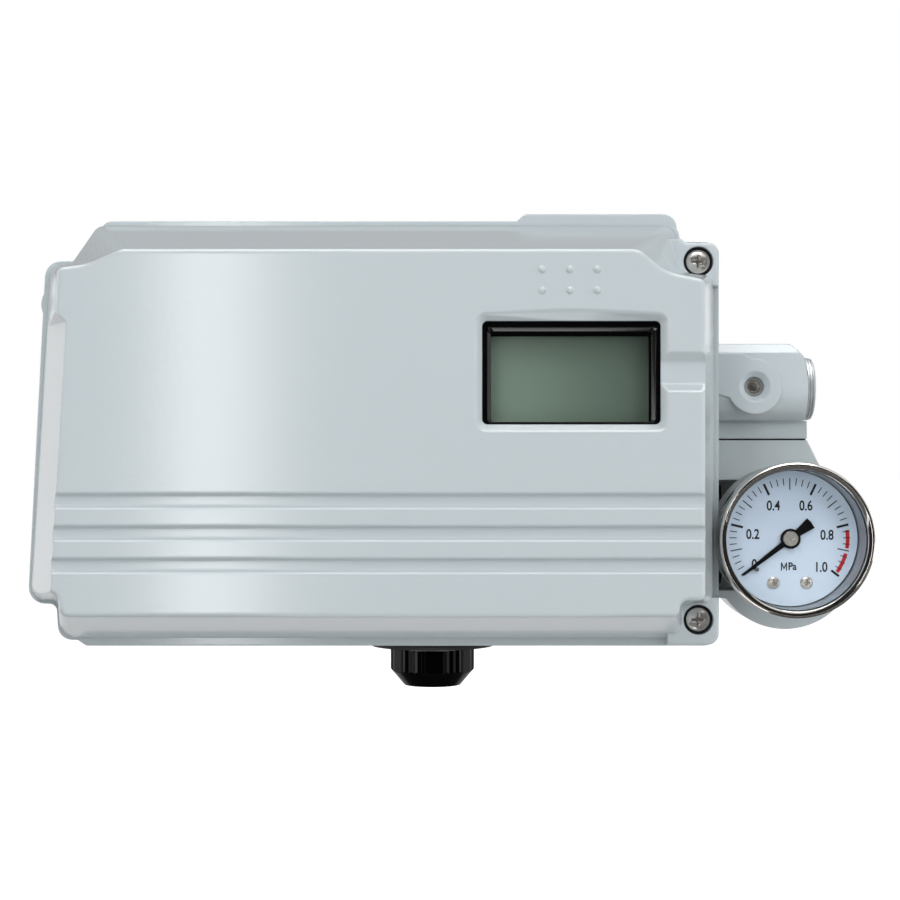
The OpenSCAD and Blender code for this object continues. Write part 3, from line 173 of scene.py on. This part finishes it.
# grains of sintered metal, as rounded cells
def makeGrains():
    sizes = {"Grain Size": effects["cellSize"]}
    group, place, given = startGroup("sinteredGrains", sizes, ("Height", "Tint"))
    cells = group.nodes.new("ShaderNodeTexVoronoi")
    group.links.new(place, cells.inputs["Vector"])
    group.links.new(given["Grain Size"], cells.inputs["Scale"])
    height = addMath(group, "SUBTRACT", 1.0, cells.outputs["Distance"])
    split = group.nodes.new("ShaderNodeSeparateColor")
    group.links.new(cells.outputs["Color"], split.inputs[0])
    return finishGroup(group, Height=height, Tint=split.outputs[0])


orangePeel = makeOrangePeel()
mouldGrain = makeMouldGrain()
toolMarks = makeToolMarks()
sinteredGrains = makeGrains()
print("shared effects made")


def startMaterial(name, roughness, metallic=0.0, gloss=0.5):
    material = bpy.data.materials.new(name)
    material.use_nodes = True
    tree = material.node_tree
    shader = tree.nodes["Principled BSDF"].inputs
    shader["Roughness"].default_value = roughness
    shader["Metallic"].default_value = metallic
    shader["Specular IOR Level"].default_value = gloss
    return material, tree, shader


def placeGroup(tree, group, **values):
    node = tree.nodes.new("ShaderNodeGroup")
    node.node_tree = group
    for label, value in values.items():
        node.inputs[label.replace("_", " ")].default_value = value
    return node.outputs


# the mix node's colours are its sockets 6 and 7, and its colour result is output 2
def mixColour(tree, factor, first, second, target):
    node = tree.nodes.new("ShaderNodeMix")
    node.data_type = "RGBA"
    tree.links.new(factor, node.inputs[0])
    node.inputs[6].default_value = (*first, 1.0)
    node.inputs[7].default_value = (*second, 1.0)
    tree.links.new(node.outputs[2], target)


def addRange(tree, value, fromLow, fromHigh, low, high):
    node = tree.nodes.new("ShaderNodeMapRange")
    tree.links.new(value, node.inputs["Value"])
    node.inputs["From Min"].default_value = fromLow
    node.inputs["From Max"].default_value = fromHigh
    node.inputs["To Min"].default_value = low
    node.inputs["To Max"].default_value = high
    return node


# spreads most of a noise's range over two values
def spread(tree, value, target, low, high):
    node = addRange(tree, value, *effects["noiseRange"], low, high)
    tree.links.new(node.outputs[0], target)


# bump over softly rounded edges
def addRelief(tree, shader, height, strength, depth, edge=0.0):
    bump = tree.nodes.new("ShaderNodeBump")
    bump.inputs["Strength"].default_value = strength
    bump.inputs["Distance"].default_value = depth
    tree.links.new(height, bump.inputs["Height"])
    if edge > 0:
        rounding = tree.nodes.new("ShaderNodeBevel")
        rounding.samples = effects["edgeSamples"]
        rounding.inputs["Radius"].default_value = edge
        tree.links.new(rounding.outputs[0], bump.inputs["Normal"])
    tree.links.new(bump.outputs[0], shader["Normal"])


def paintedCasting(name, light, dark, roughness):
    material, tree, shader = startMaterial(name, roughness)
    film = placeGroup(tree, orangePeel)
    mixColour(tree, film["Drift"], dark, light, shader["Base Color"])
    spread(tree, film["Dust"], shader["Roughness"], low=roughness * 0.9, high=roughness * 1.15)
    addRelief(tree, shader, film["Height"], strength=0.035, depth=0.0004, edge=0.0006)
    return material


def moulded(name, light, dark, roughness, grain=3000.0, strength=0.12, edge=0.00012, gloss=0.5):
    material, tree, shader = startMaterial(name, roughness, gloss=gloss)
    skin = placeGroup(tree, mouldGrain, Grain_Size=grain)
    mixColour(tree, skin["Cloud"], dark, light, shader["Base Color"])
    spread(tree, skin["Cloud"], shader["Roughness"], low=roughness * 0.85, high=roughness * 1.15)
    addRelief(tree, shader, skin["Height"], strength, depth=0.00012, edge=edge)
    return material


def machined(name, light, dark, roughness, marks="drawnMarks", strength=0.1, edge=0.0001, metal=1.0):
    material, tree, shader = startMaterial(name, roughness, metal)
    cut = placeGroup(tree, toolMarks, Stretch=effects[marks])
    mixColour(tree, cut["Smear"], dark, light, shader["Base Color"])
    spread(tree, cut["Height"], shader["Roughness"], low=roughness * 0.8, high=roughness * 1.25)
    addRelief(tree, shader, cut["Height"], strength, depth=0.00006, edge=edge)
    return material


def sintered(name, light, dark, roughness, grain):
    material, tree, shader = startMaterial(name, roughness, metallic=1.0)
    cells = placeGroup(tree, sinteredGrains, Grain_Size=grain)
    mixColour(tree, cells["Tint"], dark, light, shader["Base Color"])
    addRelief(tree, shader, cells["Height"], strength=0.6, depth=0.0002, edge=0.0001)
    return material


def clearMoulding(name, tint):
    material, tree, shader = startMaterial(name, roughness=0.015)
    shader["Base Color"].default_value = (*tint, 1.0)
    shader["Transmission Weight"].default_value = 1.0
    shader["IOR"].default_value = 1.46
    skin = placeGroup(tree, mouldGrain, Grain_Size=140.0)
    spread(tree, skin["Cloud"], shader["Roughness"], low=0.008, high=0.022)
    addRelief(tree, shader, skin["Height"], strength=0.004, depth=0.0002)
    return material


# painted shade: a slow change of tone over a face, with some of its grain in it: slopes are across and up,
# to the metre
def addPaintedShade(tree, centre, slopes, middle, grain, share):
    place = tree.nodes.new("ShaderNodeTexCoord")
    shift = tree.nodes.new("ShaderNodeMapping")
    shift.inputs["Location"].default_value = -centre
    tree.links.new(place.outputs["Object"], shift.inputs["Vector"])
    axes = tree.nodes.new("ShaderNodeSeparateXYZ")
    tree.links.new(shift.outputs[0], axes.inputs[0])
    across = addMath(tree, "MULTIPLY_ADD", axes.outputs["X"], slopes[0], middle)
    up = addMath(tree, "MULTIPLY_ADD", axes.outputs["Z"], slopes[1], across)
    return addMath(tree, "MULTIPLY_ADD", grain, share, up)


# unlit reflective display: green-grey, paler towards its upper left and darker towards its lower right as
# painted shade, over a fine reflector grain
def displayGlass(name, centre, light, dark):
    material, tree, shader = startMaterial(name, roughness=0.35)
    grain = placeGroup(tree, toolMarks, Stretch=(9000.0, 9000.0, 700.0))["Height"]
    tone = addPaintedShade(tree, centre, slopes=(20.0, -14.0), middle=0.40, grain=grain, share=0.1)
    mixColour(tree, tone, light, dark, shader["Base Color"])
    addRelief(tree, shader, grain, strength=0.05, depth=0.00005)
    return material


# printed dial: pale lacquer, a little darker and bluer towards the top as painted shade under the bezel's
# rim
def dialLacquer(name, centre, low, high):
    material, tree, shader = startMaterial(name, roughness=0.38)
    skin = placeGroup(tree, mouldGrain, Grain_Size=2600.0)
    tone = addPaintedShade(tree, centre, slopes=(0.0, 30.0), middle=0.45, grain=skin["Cloud"], share=0.12)
    mixColour(tree, tone, low, high, shader["Base Color"])
    addRelief(tree, shader, skin["Height"], strength=0.05, depth=0.00008)
    return material


# circuit board: green mask over a faint net of tracks
def solderMask(name, light, dark):
    material, tree, shader = startMaterial(name, roughness=0.3)
    place = tree.nodes.new("ShaderNodeTexCoord")
    turn = tree.nodes.new("ShaderNodeMapping")
    turn.inputs["Rotation"].default_value = (quarterTurn, 0, 0)
    tree.links.new(place.outputs["Object"], turn.inputs["Vector"])
    tracks = tree.nodes.new("ShaderNodeTexBrick")
    tracks.inputs["Scale"].default_value = 160.0
    tracks.inputs["Mortar Size"].default_value = 0.06
    tree.links.new(turn.outputs[0], tracks.inputs["Vector"])
    mixColour(tree, tracks.outputs["Fac"], dark, light, shader["Base Color"])
    addRelief(tree, shader, tracks.outputs["Fac"], strength=0.3, depth=0.00003)
    return material


gaugeCentre = standAt(*gaugeAxis, dialLevel).translation
displayCentre = standAt(*displayPlace).translation

# one finish for each of the record's slots, lighter colour first
finishes = {
    "casting": paintedCasting("castingPaint", (0.535, 0.590, 0.615), (0.515, 0.572, 0.598), roughness=0.14),
    "rubber": moulded("blackRubber", (0.016, 0.016, 0.017), (0.009, 0.009, 0.010),
                      roughness=0.62, grain=2200.0, strength=0.25),
    "black_plastic": moulded("blackMoulding", (0.0014, 0.0014, 0.0016), (0.0008, 0.0008, 0.0009),
                             roughness=0.15, grain=3200.0, strength=0.03, edge=0.0002, gloss=0.2),
    "carrier_plastic": moulded("carrierMoulding", (0.050, 0.054, 0.058), (0.036, 0.039, 0.042),
                               roughness=0.48, grain=2600.0, strength=0.25),
    "terminal_plastic": moulded("terminalMoulding", (0.030, 0.185, 0.090), (0.022, 0.150, 0.072),
                                roughness=0.38, grain=2800.0, strength=0.15),
    "gear_plastic": moulded("naturalAcetal", (0.740, 0.700, 0.600), (0.680, 0.640, 0.540),
                            roughness=0.34, grain=1800.0, strength=0.08),
    "clutch_plastic": moulded("yellowMoulding", (0.740, 0.480, 0.030), (0.660, 0.420, 0.022),
                              roughness=0.36, grain=2400.0, strength=0.15),
    "button_plastic": moulded("buttonMoulding", (0.560, 0.575, 0.590), (0.500, 0.515, 0.530),
                              roughness=0.26, strength=0.08),
    "pot_plastic": moulded("potMoulding", (0.026, 0.085, 0.270), (0.018, 0.062, 0.210),
                           roughness=0.28, grain=2600.0, strength=0.08),
    # display colours: its paler upper left, then its painted shade at the lower right
    "display": displayGlass("displayGlass", displayCentre, (0.212, 0.292, 0.232), (0.064, 0.095, 0.073)),
    "board": solderMask("solderMask", (0.014, 0.150, 0.060), (0.008, 0.088, 0.036)),
    "clear": clearMoulding("clearWindow", (0.97, 0.985, 0.98)),
    "steel": machined("plainSteel", (0.640, 0.615, 0.580), (0.540, 0.520, 0.490),
                      roughness=0.2, marks="plainMarks", strength=0.025, edge=0.00012),
    "dark_steel": machined("blackOxide", (0.060, 0.060, 0.062), (0.035, 0.035, 0.037), roughness=0.36),
    "polished_steel": machined("polishedSteel", (0.730, 0.705, 0.670), (0.650, 0.625, 0.590),
                               roughness=0.09, marks="turnedMarks", strength=0.03, edge=0.00015),
    "aluminium": machined("anodisedAluminium", (0.600, 0.615, 0.630), (0.520, 0.535, 0.550),
                          roughness=0.34, marks="sawnMarks", strength=0.12),
    "brass": machined("turnedBrass", (0.730, 0.510, 0.200), (0.600, 0.400, 0.140), roughness=0.24),
    "bronze": sintered("oiledBronze", (0.430, 0.290, 0.150), (0.300, 0.190, 0.090),
                       roughness=0.42, grain=4200.0),
    "sintered_bronze": sintered("sinteredBronze", (0.520, 0.350, 0.150), (0.340, 0.210, 0.080),
                                roughness=0.5, grain=2600.0),
    # dial colours: the bottom, then the top's painted shade under the bezel
    "dial_paint": dialLacquer("dialLacquer", gaugeCentre, (0.690, 0.800, 0.945), (0.665, 0.785, 0.950)),
    "needle_paint": moulded("needleBlack", (0.0035, 0.0035, 0.0040), (0.0020, 0.0020, 0.0025),
                            roughness=0.34, strength=0.06, edge=0.00006, gloss=0.25),
}

# finishes of single pieces that differ from their slot's
satinSteel = machined("satinSteel", (0.430, 0.440, 0.440), (0.350, 0.360, 0.360),
                      roughness=0.36, marks="turnedMarks", strength=0.05)
satinNickel = machined("satinNickel", (0.690, 0.655, 0.605), (0.640, 0.605, 0.560),
                       roughness=0.24, marks="softMarks", strength=0.004, edge=0.00012, metal=0.62)
screwSteel = machined("screwSteel", (0.740, 0.710, 0.670), (0.680, 0.650, 0.610),
                      roughness=0.2, marks="softMarks", strength=0.004, edge=0.00012, metal=0.84)
platedBush = machined("platedBush", (0.560, 0.585, 0.595), (0.480, 0.505, 0.515),
                      roughness=0.38, marks="turnedMarks", strength=0.04, edge=0.00015, metal=0.5)
glandMoulding = moulded("glandMoulding", (0.0014, 0.0014, 0.0016), (0.0008, 0.0008, 0.0009),
                        roughness=0.14, grain=3200.0, strength=0.02, edge=0.0002, gloss=0.06)
windowMoulding = moulded("windowMoulding", (0.0016, 0.0016, 0.0019), (0.0010, 0.0010, 0.0012),
                         roughness=0.12, grain=3200.0, strength=0.02, edge=0.0002)
printInk = moulded("printInk", (0.006, 0.007, 0.010), (0.004, 0.005, 0.008),
                   roughness=0.5, grain=5200.0, strength=0.1, edge=0.0)
redInk = moulded("redInk", (0.640, 0.022, 0.030), (0.540, 0.016, 0.022),
                 roughness=0.5, grain=5200.0, strength=0.1, edge=0.0)
ownFinishes = {"output_port_bush": platedBush, "supply_port_bush": platedBush, "gauge_case": satinSteel,
               "restrictor_screw": screwSteel, "needle_hub": satinNickel, "dial_screws": satinNickel,
               "cover_screws": screwSteel, "gland_body": glandMoulding, "gland_nut": glandMoulding}

for row in frame["record"]["subparts"]:
    node = nodes[row["node"]]
    node.data.materials.clear()
    node.data.materials.append(ownFinishes.get(row["node"], finishes[row["material_slot"]]))
nodes["gauge_lens"].visible_shadow = False
for name in ("gland_washer", "gland_body", "gland_nut", "gland_seal"):  # not mirrored in the casting above
    nodes[name].visible_glossy = False


# gauge bezel, a rolled steel ring with a lip over the lens
# skirt and lip are points of (radius, level from the front)
bezel = {"front": 56.2, "outer": 18.5, "roll": 0.75, "rollSteps": 9, "steps": 144, "smoothAngle": 28,
         "skirt": [(17.42, -7.7), (18.1, -7.7), (18.42, -7.5), (18.5, -7.1)],
         "lip": [(17.63, -0.03), (16.86, -0.46), (16.8, -0.62), (16.8, -1.15), (17.42, -1.15)],
         "mergeGap": 1e-5}


def makeBezel():
    roll = bezel["roll"]
    profile = list(bezel["skirt"])
    for step in range(bezel["rollSteps"] + 1):
        angle = quarterTurn * step / bezel["rollSteps"]
        profile.append((bezel["outer"] - roll + roll * math.cos(angle), -roll + roll * math.sin(angle)))
    profile += bezel["lip"]
    shape = bmesh.new()
    corners = [shape.verts.new((radius, 0, height)) for radius, height in profile]
    edges = [shape.edges.new(pair) for pair in zip(corners, corners[1:] + corners[:1])]
    bmesh.ops.spin(shape, geom=corners + edges, cent=(0, 0, 0), axis=(0, 0, 1), angle=math.tau,
                   steps=bezel["steps"], use_merge=True)
    bmesh.ops.remove_doubles(shape, verts=shape.verts, dist=bezel["mergeGap"])
    bmesh.ops.recalc_face_normals(shape, faces=shape.faces)
    bmesh.ops.transform(shape, matrix=standAt(*gaugeAxis, bezel["front"]), verts=shape.verts)
    addPiece("bezelRing", shape, "base", "polished_steel", [finishes["polished_steel"]], "gauge_bezel",
             smoothAngle=bezel["smoothAngle"])


makeBezel()
print("bezel turned")


# scale and figures printed on the dial, in millimetres from its axis and in degrees
dialPrint = {"film": 0.03, "outer": 14.6, "major": 11.65, "medium": 11.8, "minor": 12.9,
             "last": (12.65, 15.0), "majorWidth": 0.56, "mediumWidth": 0.27, "minorWidth": 0.22,
             "zero": 217.5, "span": 255.0, "divisions": 40, "majorEvery": 8, "mediumEvery": 4,
             "figures": {"0": (-8.6, -6.3), "0.2": (-8.95, 0.95), "0.4": (-3.98, 7.85), "0.6": (3.9, 7.85),
                         "0.8": (9.0, 0.75), "1.0": (7.5, -7.0)},
             "figureSize": 3.35, "figureWidth": 0.8, "weight": 0.07, "figureSteps": 5,
             "unit": "Pa", "unitPlace": (0.60, -6.8), "unitSize": 2.55, "unitWidth": 0.85,
             "unitFirst": [(-2.0, -7.72), (-2.0, -5.88), (-1.4, -7.25), (-0.8, -5.88), (-0.8, -7.72)],
             "unitStroke": 0.27, "strokeOverlap": 0.6,
             "red": [(8.5, -9.8), (-15.0, -35.4)], "redInner": 13.55, "redOuter": 14.45, "redFilm": 0.024,
             "redSteps": 16}


def addTick(shape, angle, inner, outer, width):
    turn = Matrix.Rotation(math.radians(angle), 4, "Z")
    place = Matrix.Translation(((inner + outer) / 2, 0, dialPrint["film"] / 2))
    size = Matrix.Diagonal((outer - inner, width, dialPrint["film"], 1))
    bmesh.ops.create_cube(shape, size=1.0, matrix=turn @ place @ size)


def addStroke(shape, start, stop, width):
    run = Vector(stop) - Vector(start)
    middle = (Vector(stop) + Vector(start)) / 2
    turn = Matrix.Rotation(math.atan2(run.y, run.x), 4, "Z")
    size = Matrix.Diagonal((run.length + width * dialPrint["strokeOverlap"], width, dialPrint["film"], 1))
    place = Matrix.Translation((middle.x, middle.y, dialPrint["film"] / 2))
    bmesh.ops.create_cube(shape, size=1.0, matrix=place @ turn @ size)


def addFigure(shape, text, at, size, width):
    curve = bpy.data.curves.new("figure", "FONT")
    curve.body = text
    curve.size = size
    curve.align_x = "CENTER"
    curve.align_y = "CENTER"
    curve.offset = dialPrint["weight"]
    curve.resolution_u = dialPrint["figureSteps"]
    holder = bpy.data.objects.new("figure", curve)
    scene.collection.objects.link(holder)
    bpy.context.view_layer.update()
    flat = bpy.data.meshes.new_from_object(holder.evaluated_get(bpy.context.evaluated_depsgraph_get()))
    flat.transform(Matrix.Translation((*at, dialPrint["film"])) @ Matrix.Diagonal((width, 1, 1, 1)))
    shape.from_mesh(flat)
    bpy.data.objects.remove(holder)
    bpy.data.curves.remove(curve)
    bpy.data.meshes.remove(flat)


def addRedArc(shape, start, stop):
    angle = math.radians(start)
    inner, outer, film = dialPrint["redInner"], dialPrint["redOuter"], dialPrint["redFilm"]
    corners = [shape.verts.new((radius * math.cos(angle), radius * math.sin(angle), height))
               for radius, height in ((inner, 0.0), (outer, 0.0), (outer, film), (inner, film))]
    face = shape.faces.new(corners)
    before = set(shape.faces)
    bmesh.ops.spin(shape, geom=[face], cent=(0, 0, 0), axis=(0, 0, 1), angle=math.radians(stop - start),
                   steps=dialPrint["redSteps"])
    for made in set(shape.faces) - before | {face}:
        made.material_index = 1


def makeDialPrint():
    shape = bmesh.new()
    for start, stop in dialPrint["red"]:
        addRedArc(shape, start, stop)
    bmesh.ops.recalc_face_normals(shape, faces=shape.faces)
    for step in range(dialPrint["divisions"] + 1):
        angle = dialPrint["zero"] - dialPrint["span"] * step / dialPrint["divisions"]
        if step == dialPrint["divisions"]:
            addTick(shape, angle, *dialPrint["last"], dialPrint["majorWidth"])
        elif step % dialPrint["majorEvery"] == 0:
            addTick(shape, angle, dialPrint["major"], dialPrint["outer"], dialPrint["majorWidth"])
        elif step % dialPrint["mediumEvery"] == 0:
            addTick(shape, angle, dialPrint["medium"], dialPrint["outer"], dialPrint["mediumWidth"])
        else:
            addTick(shape, angle, dialPrint["minor"], dialPrint["outer"], dialPrint["minorWidth"])
    for text, at in dialPrint["figures"].items():
        addFigure(shape, text, at, dialPrint["figureSize"], dialPrint["figureWidth"])
    letter = dialPrint["unitFirst"]  # the unit's wide first letter, in strokes
    for start, stop in zip(letter, letter[1:]):
        addStroke(shape, start, stop, dialPrint["unitStroke"])
    addFigure(shape, dialPrint["unit"], dialPrint["unitPlace"], dialPrint["unitSize"],
              dialPrint["unitWidth"])
    bmesh.ops.transform(shape, matrix=standAt(*gaugeAxis, dialLevel), verts=shape.verts)
    return addPiece("dialPrint", shape, "base", "dial_paint", [printInk, redInk])


dialInk = makeDialPrint()
print("dial printed")


# window frame and lens, as outlines of (half width, low, high, corner, level) joined one to the next
window = {"cornerSteps": 5,
          "frame": [(20.18, 1.82, 25.18, 1.2, 75.95), (19.05, 2.35, 23.75, 0.8, 75.95),
                    (18.2, 2.4, 22.9, 0.8, 75.19), (18.2, 2.4, 22.9, 0.8, 74.97),
                    (19.0, 2.2, 24.0, 0.8, 74.96), (19.0, 2.2, 24.0, 0.8, 72.05),
                    (23.18, -1.18, 28.18, 2.0, 72.05), (23.18, -1.18, 28.18, 2.0, 73.63),
                    (20.18, 1.82, 25.18, 1.2, 73.63)],
          "lens": [(18.98, 2.22, 23.98, 0.8, 73.45), (18.98, 2.22, 23.98, 0.8, 74.94)]}


def addOutline(shape, halfWidth, low, high, corner, level):
    size = Matrix.Diagonal((2 * halfWidth, high - low, 1, 1))
    place = Matrix.Translation((0, (low + high) / 2, level))
    before = set(shape.faces)
    made = bmesh.ops.create_grid(shape, x_segments=1, y_segments=1, size=0.5, matrix=place @ size)
    bmesh.ops.bevel(shape, geom=made["verts"], offset=corner, segments=window["cornerSteps"], profile=0.5,
                    affect="VERTICES", material=-1)
    return (set(shape.faces) - before).pop()


def joinOutlines(outlines, hollow):
    shape = bmesh.new()
    ends = [addOutline(shape, *outline) for outline in outlines]
    rims = [list(end.verts) for end in ends]
    if hollow:
        bmesh.ops.delete(shape, geom=ends, context="FACES_ONLY")
        rims.append(rims[0])
    for first, second in zip(rims, rims[1:]):  # bridging twists outlines that lie in one plane
        for step in range(len(first)):
            shape.faces.new((first[step - 1], first[step], second[step], second[step - 1]))
    bmesh.ops.recalc_face_normals(shape, faces=shape.faces)
    bmesh.ops.transform(shape, matrix=standAt(windowMiddle, 0, 0), verts=shape.verts)
    return shape


addPiece("windowFrame", joinOutlines(window["frame"], True), "cover", "black_plastic",
         [windowMoulding], "window_frame")
clearPane = addPiece("windowLens", joinOutlines(window["lens"], False), "cover", "clear",
                     [finishes["clear"]], "window_lens")
clearPane.visible_shadow = False
print("window framed")


# light, floor and background, in metres: lamps by place, size and power
studio = {"lamps": {"keyLamp": ((-0.18, -0.62, 0.66), 0.5, 3.3),
                    "fillLamp": ((0.55, -1.1, 0.3), 0.4, 2.6),
                    "sideLamp": ((0.86, -0.28, 0.12), 0.3, 2.2),
                    "backLamp": ((0.30, 1.15, 0.65), 0.6, 6.5),
                    "leftLamp": ((-0.85, 0.35, 0.30), 0.4, 2.0)},
          "dialLamp": ((0.10, -0.9, 0.05), 0.3, 1.2),
          "dialLit": ("gauge_dial", "gauge_needle", "needle_hub", "dial_screws", "needle_stop"),
          "aim": (0.05, -0.04, -0.005), "ambient": 0.36, "white": (1.0, 1.0, 1.0, 1.0),
          "stripX": (-0.086, -0.066, -0.060, -0.012), "stripY": -0.535, "stripZ": (-0.16, 0.16),
          "stripLevel": 8.5,
          "floorLevel": -0.2, "floorReach": 12.0, "floorColour": (0.62, 0.62, 0.62, 1.0), "floorLift": 0.82}

# cards and slim lights round the set, seen in gloss and through glass: opposite corners, and how bright
cards = {
    "darkCard": ((-0.75, -0.62, -0.55), (0.85, -0.62, 0.55), 0.02),
    "leftCard": ((-0.62, -0.62, -0.5), (-0.62, -0.24, 0.5), 0.03),
    "rightCard": ((0.78, -0.62, -0.5), (0.78, -0.24, 0.5), 0.03),
    "frontCard": ((-0.8, -0.5, -0.19), (0.9, 0.1, -0.19), 0.12),
    "rearCard": ((-0.8, 0.1, -0.19), (0.9, 2.5, -0.19), 0.7),
    "backCard": ((-0.9, 0.6, 0.10), (1.0, 0.6, 1.2), 0.35),
    "topLight": ((-0.25, -0.34, 0.55), (0.38, 0.06, 0.55), 7.5),
    "leftLight": ((-0.60, -0.22, -0.3), (-0.60, 0.0, 0.3), 5.5),
    "rightLight": ((0.76, -0.22, -0.3), (0.76, -0.04, -0.07), 3.4),
    "lowLight": ((0.0, -0.13, -0.18), (0.1, -0.07, -0.18), 3.4),
}


# flat sheet between two opposite corners that share one coordinate
def addPlane(name, low, high):
    across, along = [axis for axis in range(3) if low[axis] < high[axis]]
    shape = bmesh.new()
    corners = []
    for first, second in ((low, low), (low, high), (high, high), (high, low)):
        corner = Vector(low)
        corner[across] = first[across]
        corner[along] = second[along]
        corners.append(shape.verts.new(corner))
    shape.faces.new(corners)
    mesh = bpy.data.meshes.new(name)
    shape.to_mesh(mesh)
    shape.free()
    plane = bpy.data.objects.new(name, mesh)
    scene.collection.objects.link(plane)
    return plane


def makeLamp(name, place, size, power):
    data = bpy.data.lights.new(name, "AREA")
    data.size = size
    data.energy = power
    lamp = bpy.data.objects.new(name, data)
    lamp.location = place
    lamp.rotation_mode = "QUATERNION"
    lamp.rotation_quaternion = (Vector(studio["aim"]) - lamp.location).to_track_quat("-Z", "Y")
    lamp.visible_glossy = False
    scene.collection.objects.link(lamp)
    return lamp


# a small lamp for the sunk dial alone, which the bezel would shade
def makeDialLamp():
    lamp = makeLamp("dialLamp", *studio["dialLamp"])
    lit = bpy.data.collections.new("dialLit")
    for name in studio["dialLit"]:
        lit.objects.link(nodes[name])
    lit.objects.link(dialInk)
    lamp.light_linking.receiver_collection = lit
    lamp.light_linking.blocker_collection = lit


# material with nothing but its output
def startBare(name, plane):
    material = bpy.data.materials.new(name)
    material.use_nodes = True
    tree = material.node_tree
    tree.nodes.clear()
    end = tree.nodes.new("ShaderNodeOutputMaterial")
    plane.data.materials.append(material)
    return tree, end.inputs["Surface"]


def addGlow(tree, strength):
    glow = tree.nodes.new("ShaderNodeEmission")
    feed(tree, glow.inputs["Strength"], strength)
    return glow.outputs[0]


def addRamp(tree, value, start, stop, low, high):
    node = addRange(tree, value, start, stop, low, high)
    node.interpolation_type = "SMOOTHSTEP"
    return node.outputs[0]


# a tall strip light beside the camera, quick to rise at its left and slow to fade at its right
def makeStrip():
    (left, full, easing, right), (low, high), front = studio["stripX"], studio["stripZ"], studio["stripY"]
    strip = addPlane("stripLight", (left, front, low), (right, front, high))
    tree, surface = startBare("stripGlow", strip)
    place = tree.nodes.new("ShaderNodeTexCoord")
    axes = tree.nodes.new("ShaderNodeSeparateXYZ")
    tree.links.new(place.outputs["Object"], axes.inputs[0])
    rise = addRamp(tree, axes.outputs["X"], left, full, 0.0, studio["stripLevel"])
    fade = addRamp(tree, axes.outputs["X"], easing, right, 1.0, 0.0)
    tree.links.new(addGlow(tree, addMath(tree, "MULTIPLY", rise, fade)), surface)
    strip.visible_camera = False
    strip.visible_shadow = False


def makeCard(name, low, high, level):
    card = addPlane(name, low, high)
    tree, surface = startBare(name + "Face", card)
    tree.links.new(addGlow(tree, level), surface)
    card.visible_camera = False
    card.visible_diffuse = False
    card.visible_shadow = False


# 1 for rays that the camera sees, straight, in gloss or through glass, and 0 for light on matt faces
def addSeen(tree):
    rays = tree.nodes.new("ShaderNodeLightPath").outputs
    seen = addMath(tree, "MAXIMUM", rays["Is Camera Ray"], rays["Is Glossy Ray"])
    return addMath(tree, "MAXIMUM", seen, rays["Is Transmission Ray"])


def makeFloor():
    reach, level = studio["floorReach"], studio["floorLevel"]
    floor = addPlane("studioFloor", (-reach, -reach, level), (reach, reach, level))
    tree, surface = startBare("floorWhite", floor)
    matt = tree.nodes.new("ShaderNodeBsdfDiffuse")
    matt.inputs["Color"].default_value = studio["floorColour"]
    total = tree.nodes.new("ShaderNodeAddShader")
    tree.links.new(matt.outputs[0], total.inputs[0])
    lift = addMath(tree, "MULTIPLY", addSeen(tree), studio["floorLift"])
    tree.links.new(addGlow(tree, lift), total.inputs[1])
    tree.links.new(total.outputs[0], surface)


def makeWorld():
    world = bpy.data.worlds.new("studioWorld")
    scene.world = world
    world.use_nodes = True
    tree = world.node_tree
    tree.nodes.clear()
    mix = tree.nodes.new("ShaderNodeMixShader")
    tree.links.new(addSeen(tree), mix.inputs[0])
    for socket, strength in zip(mix.inputs[1:], (studio["ambient"], 1.0)):
        light = tree.nodes.new("ShaderNodeBackground")
        light.inputs["Color"].default_value = studio["white"]
        light.inputs["Strength"].default_value = strength
        tree.links.new(light.outputs[0], socket)
    end = tree.nodes.new("ShaderNodeOutputWorld")
    tree.links.new(mix.outputs[0], end.inputs["Surface"])


for name, lamp in studio["lamps"].items():
    makeLamp(name, *lamp)
makeDialLamp()
makeStrip()
for name, card in cards.items():
    makeCard(name, *card)
makeFloor()
makeWorld()
print("studio set")
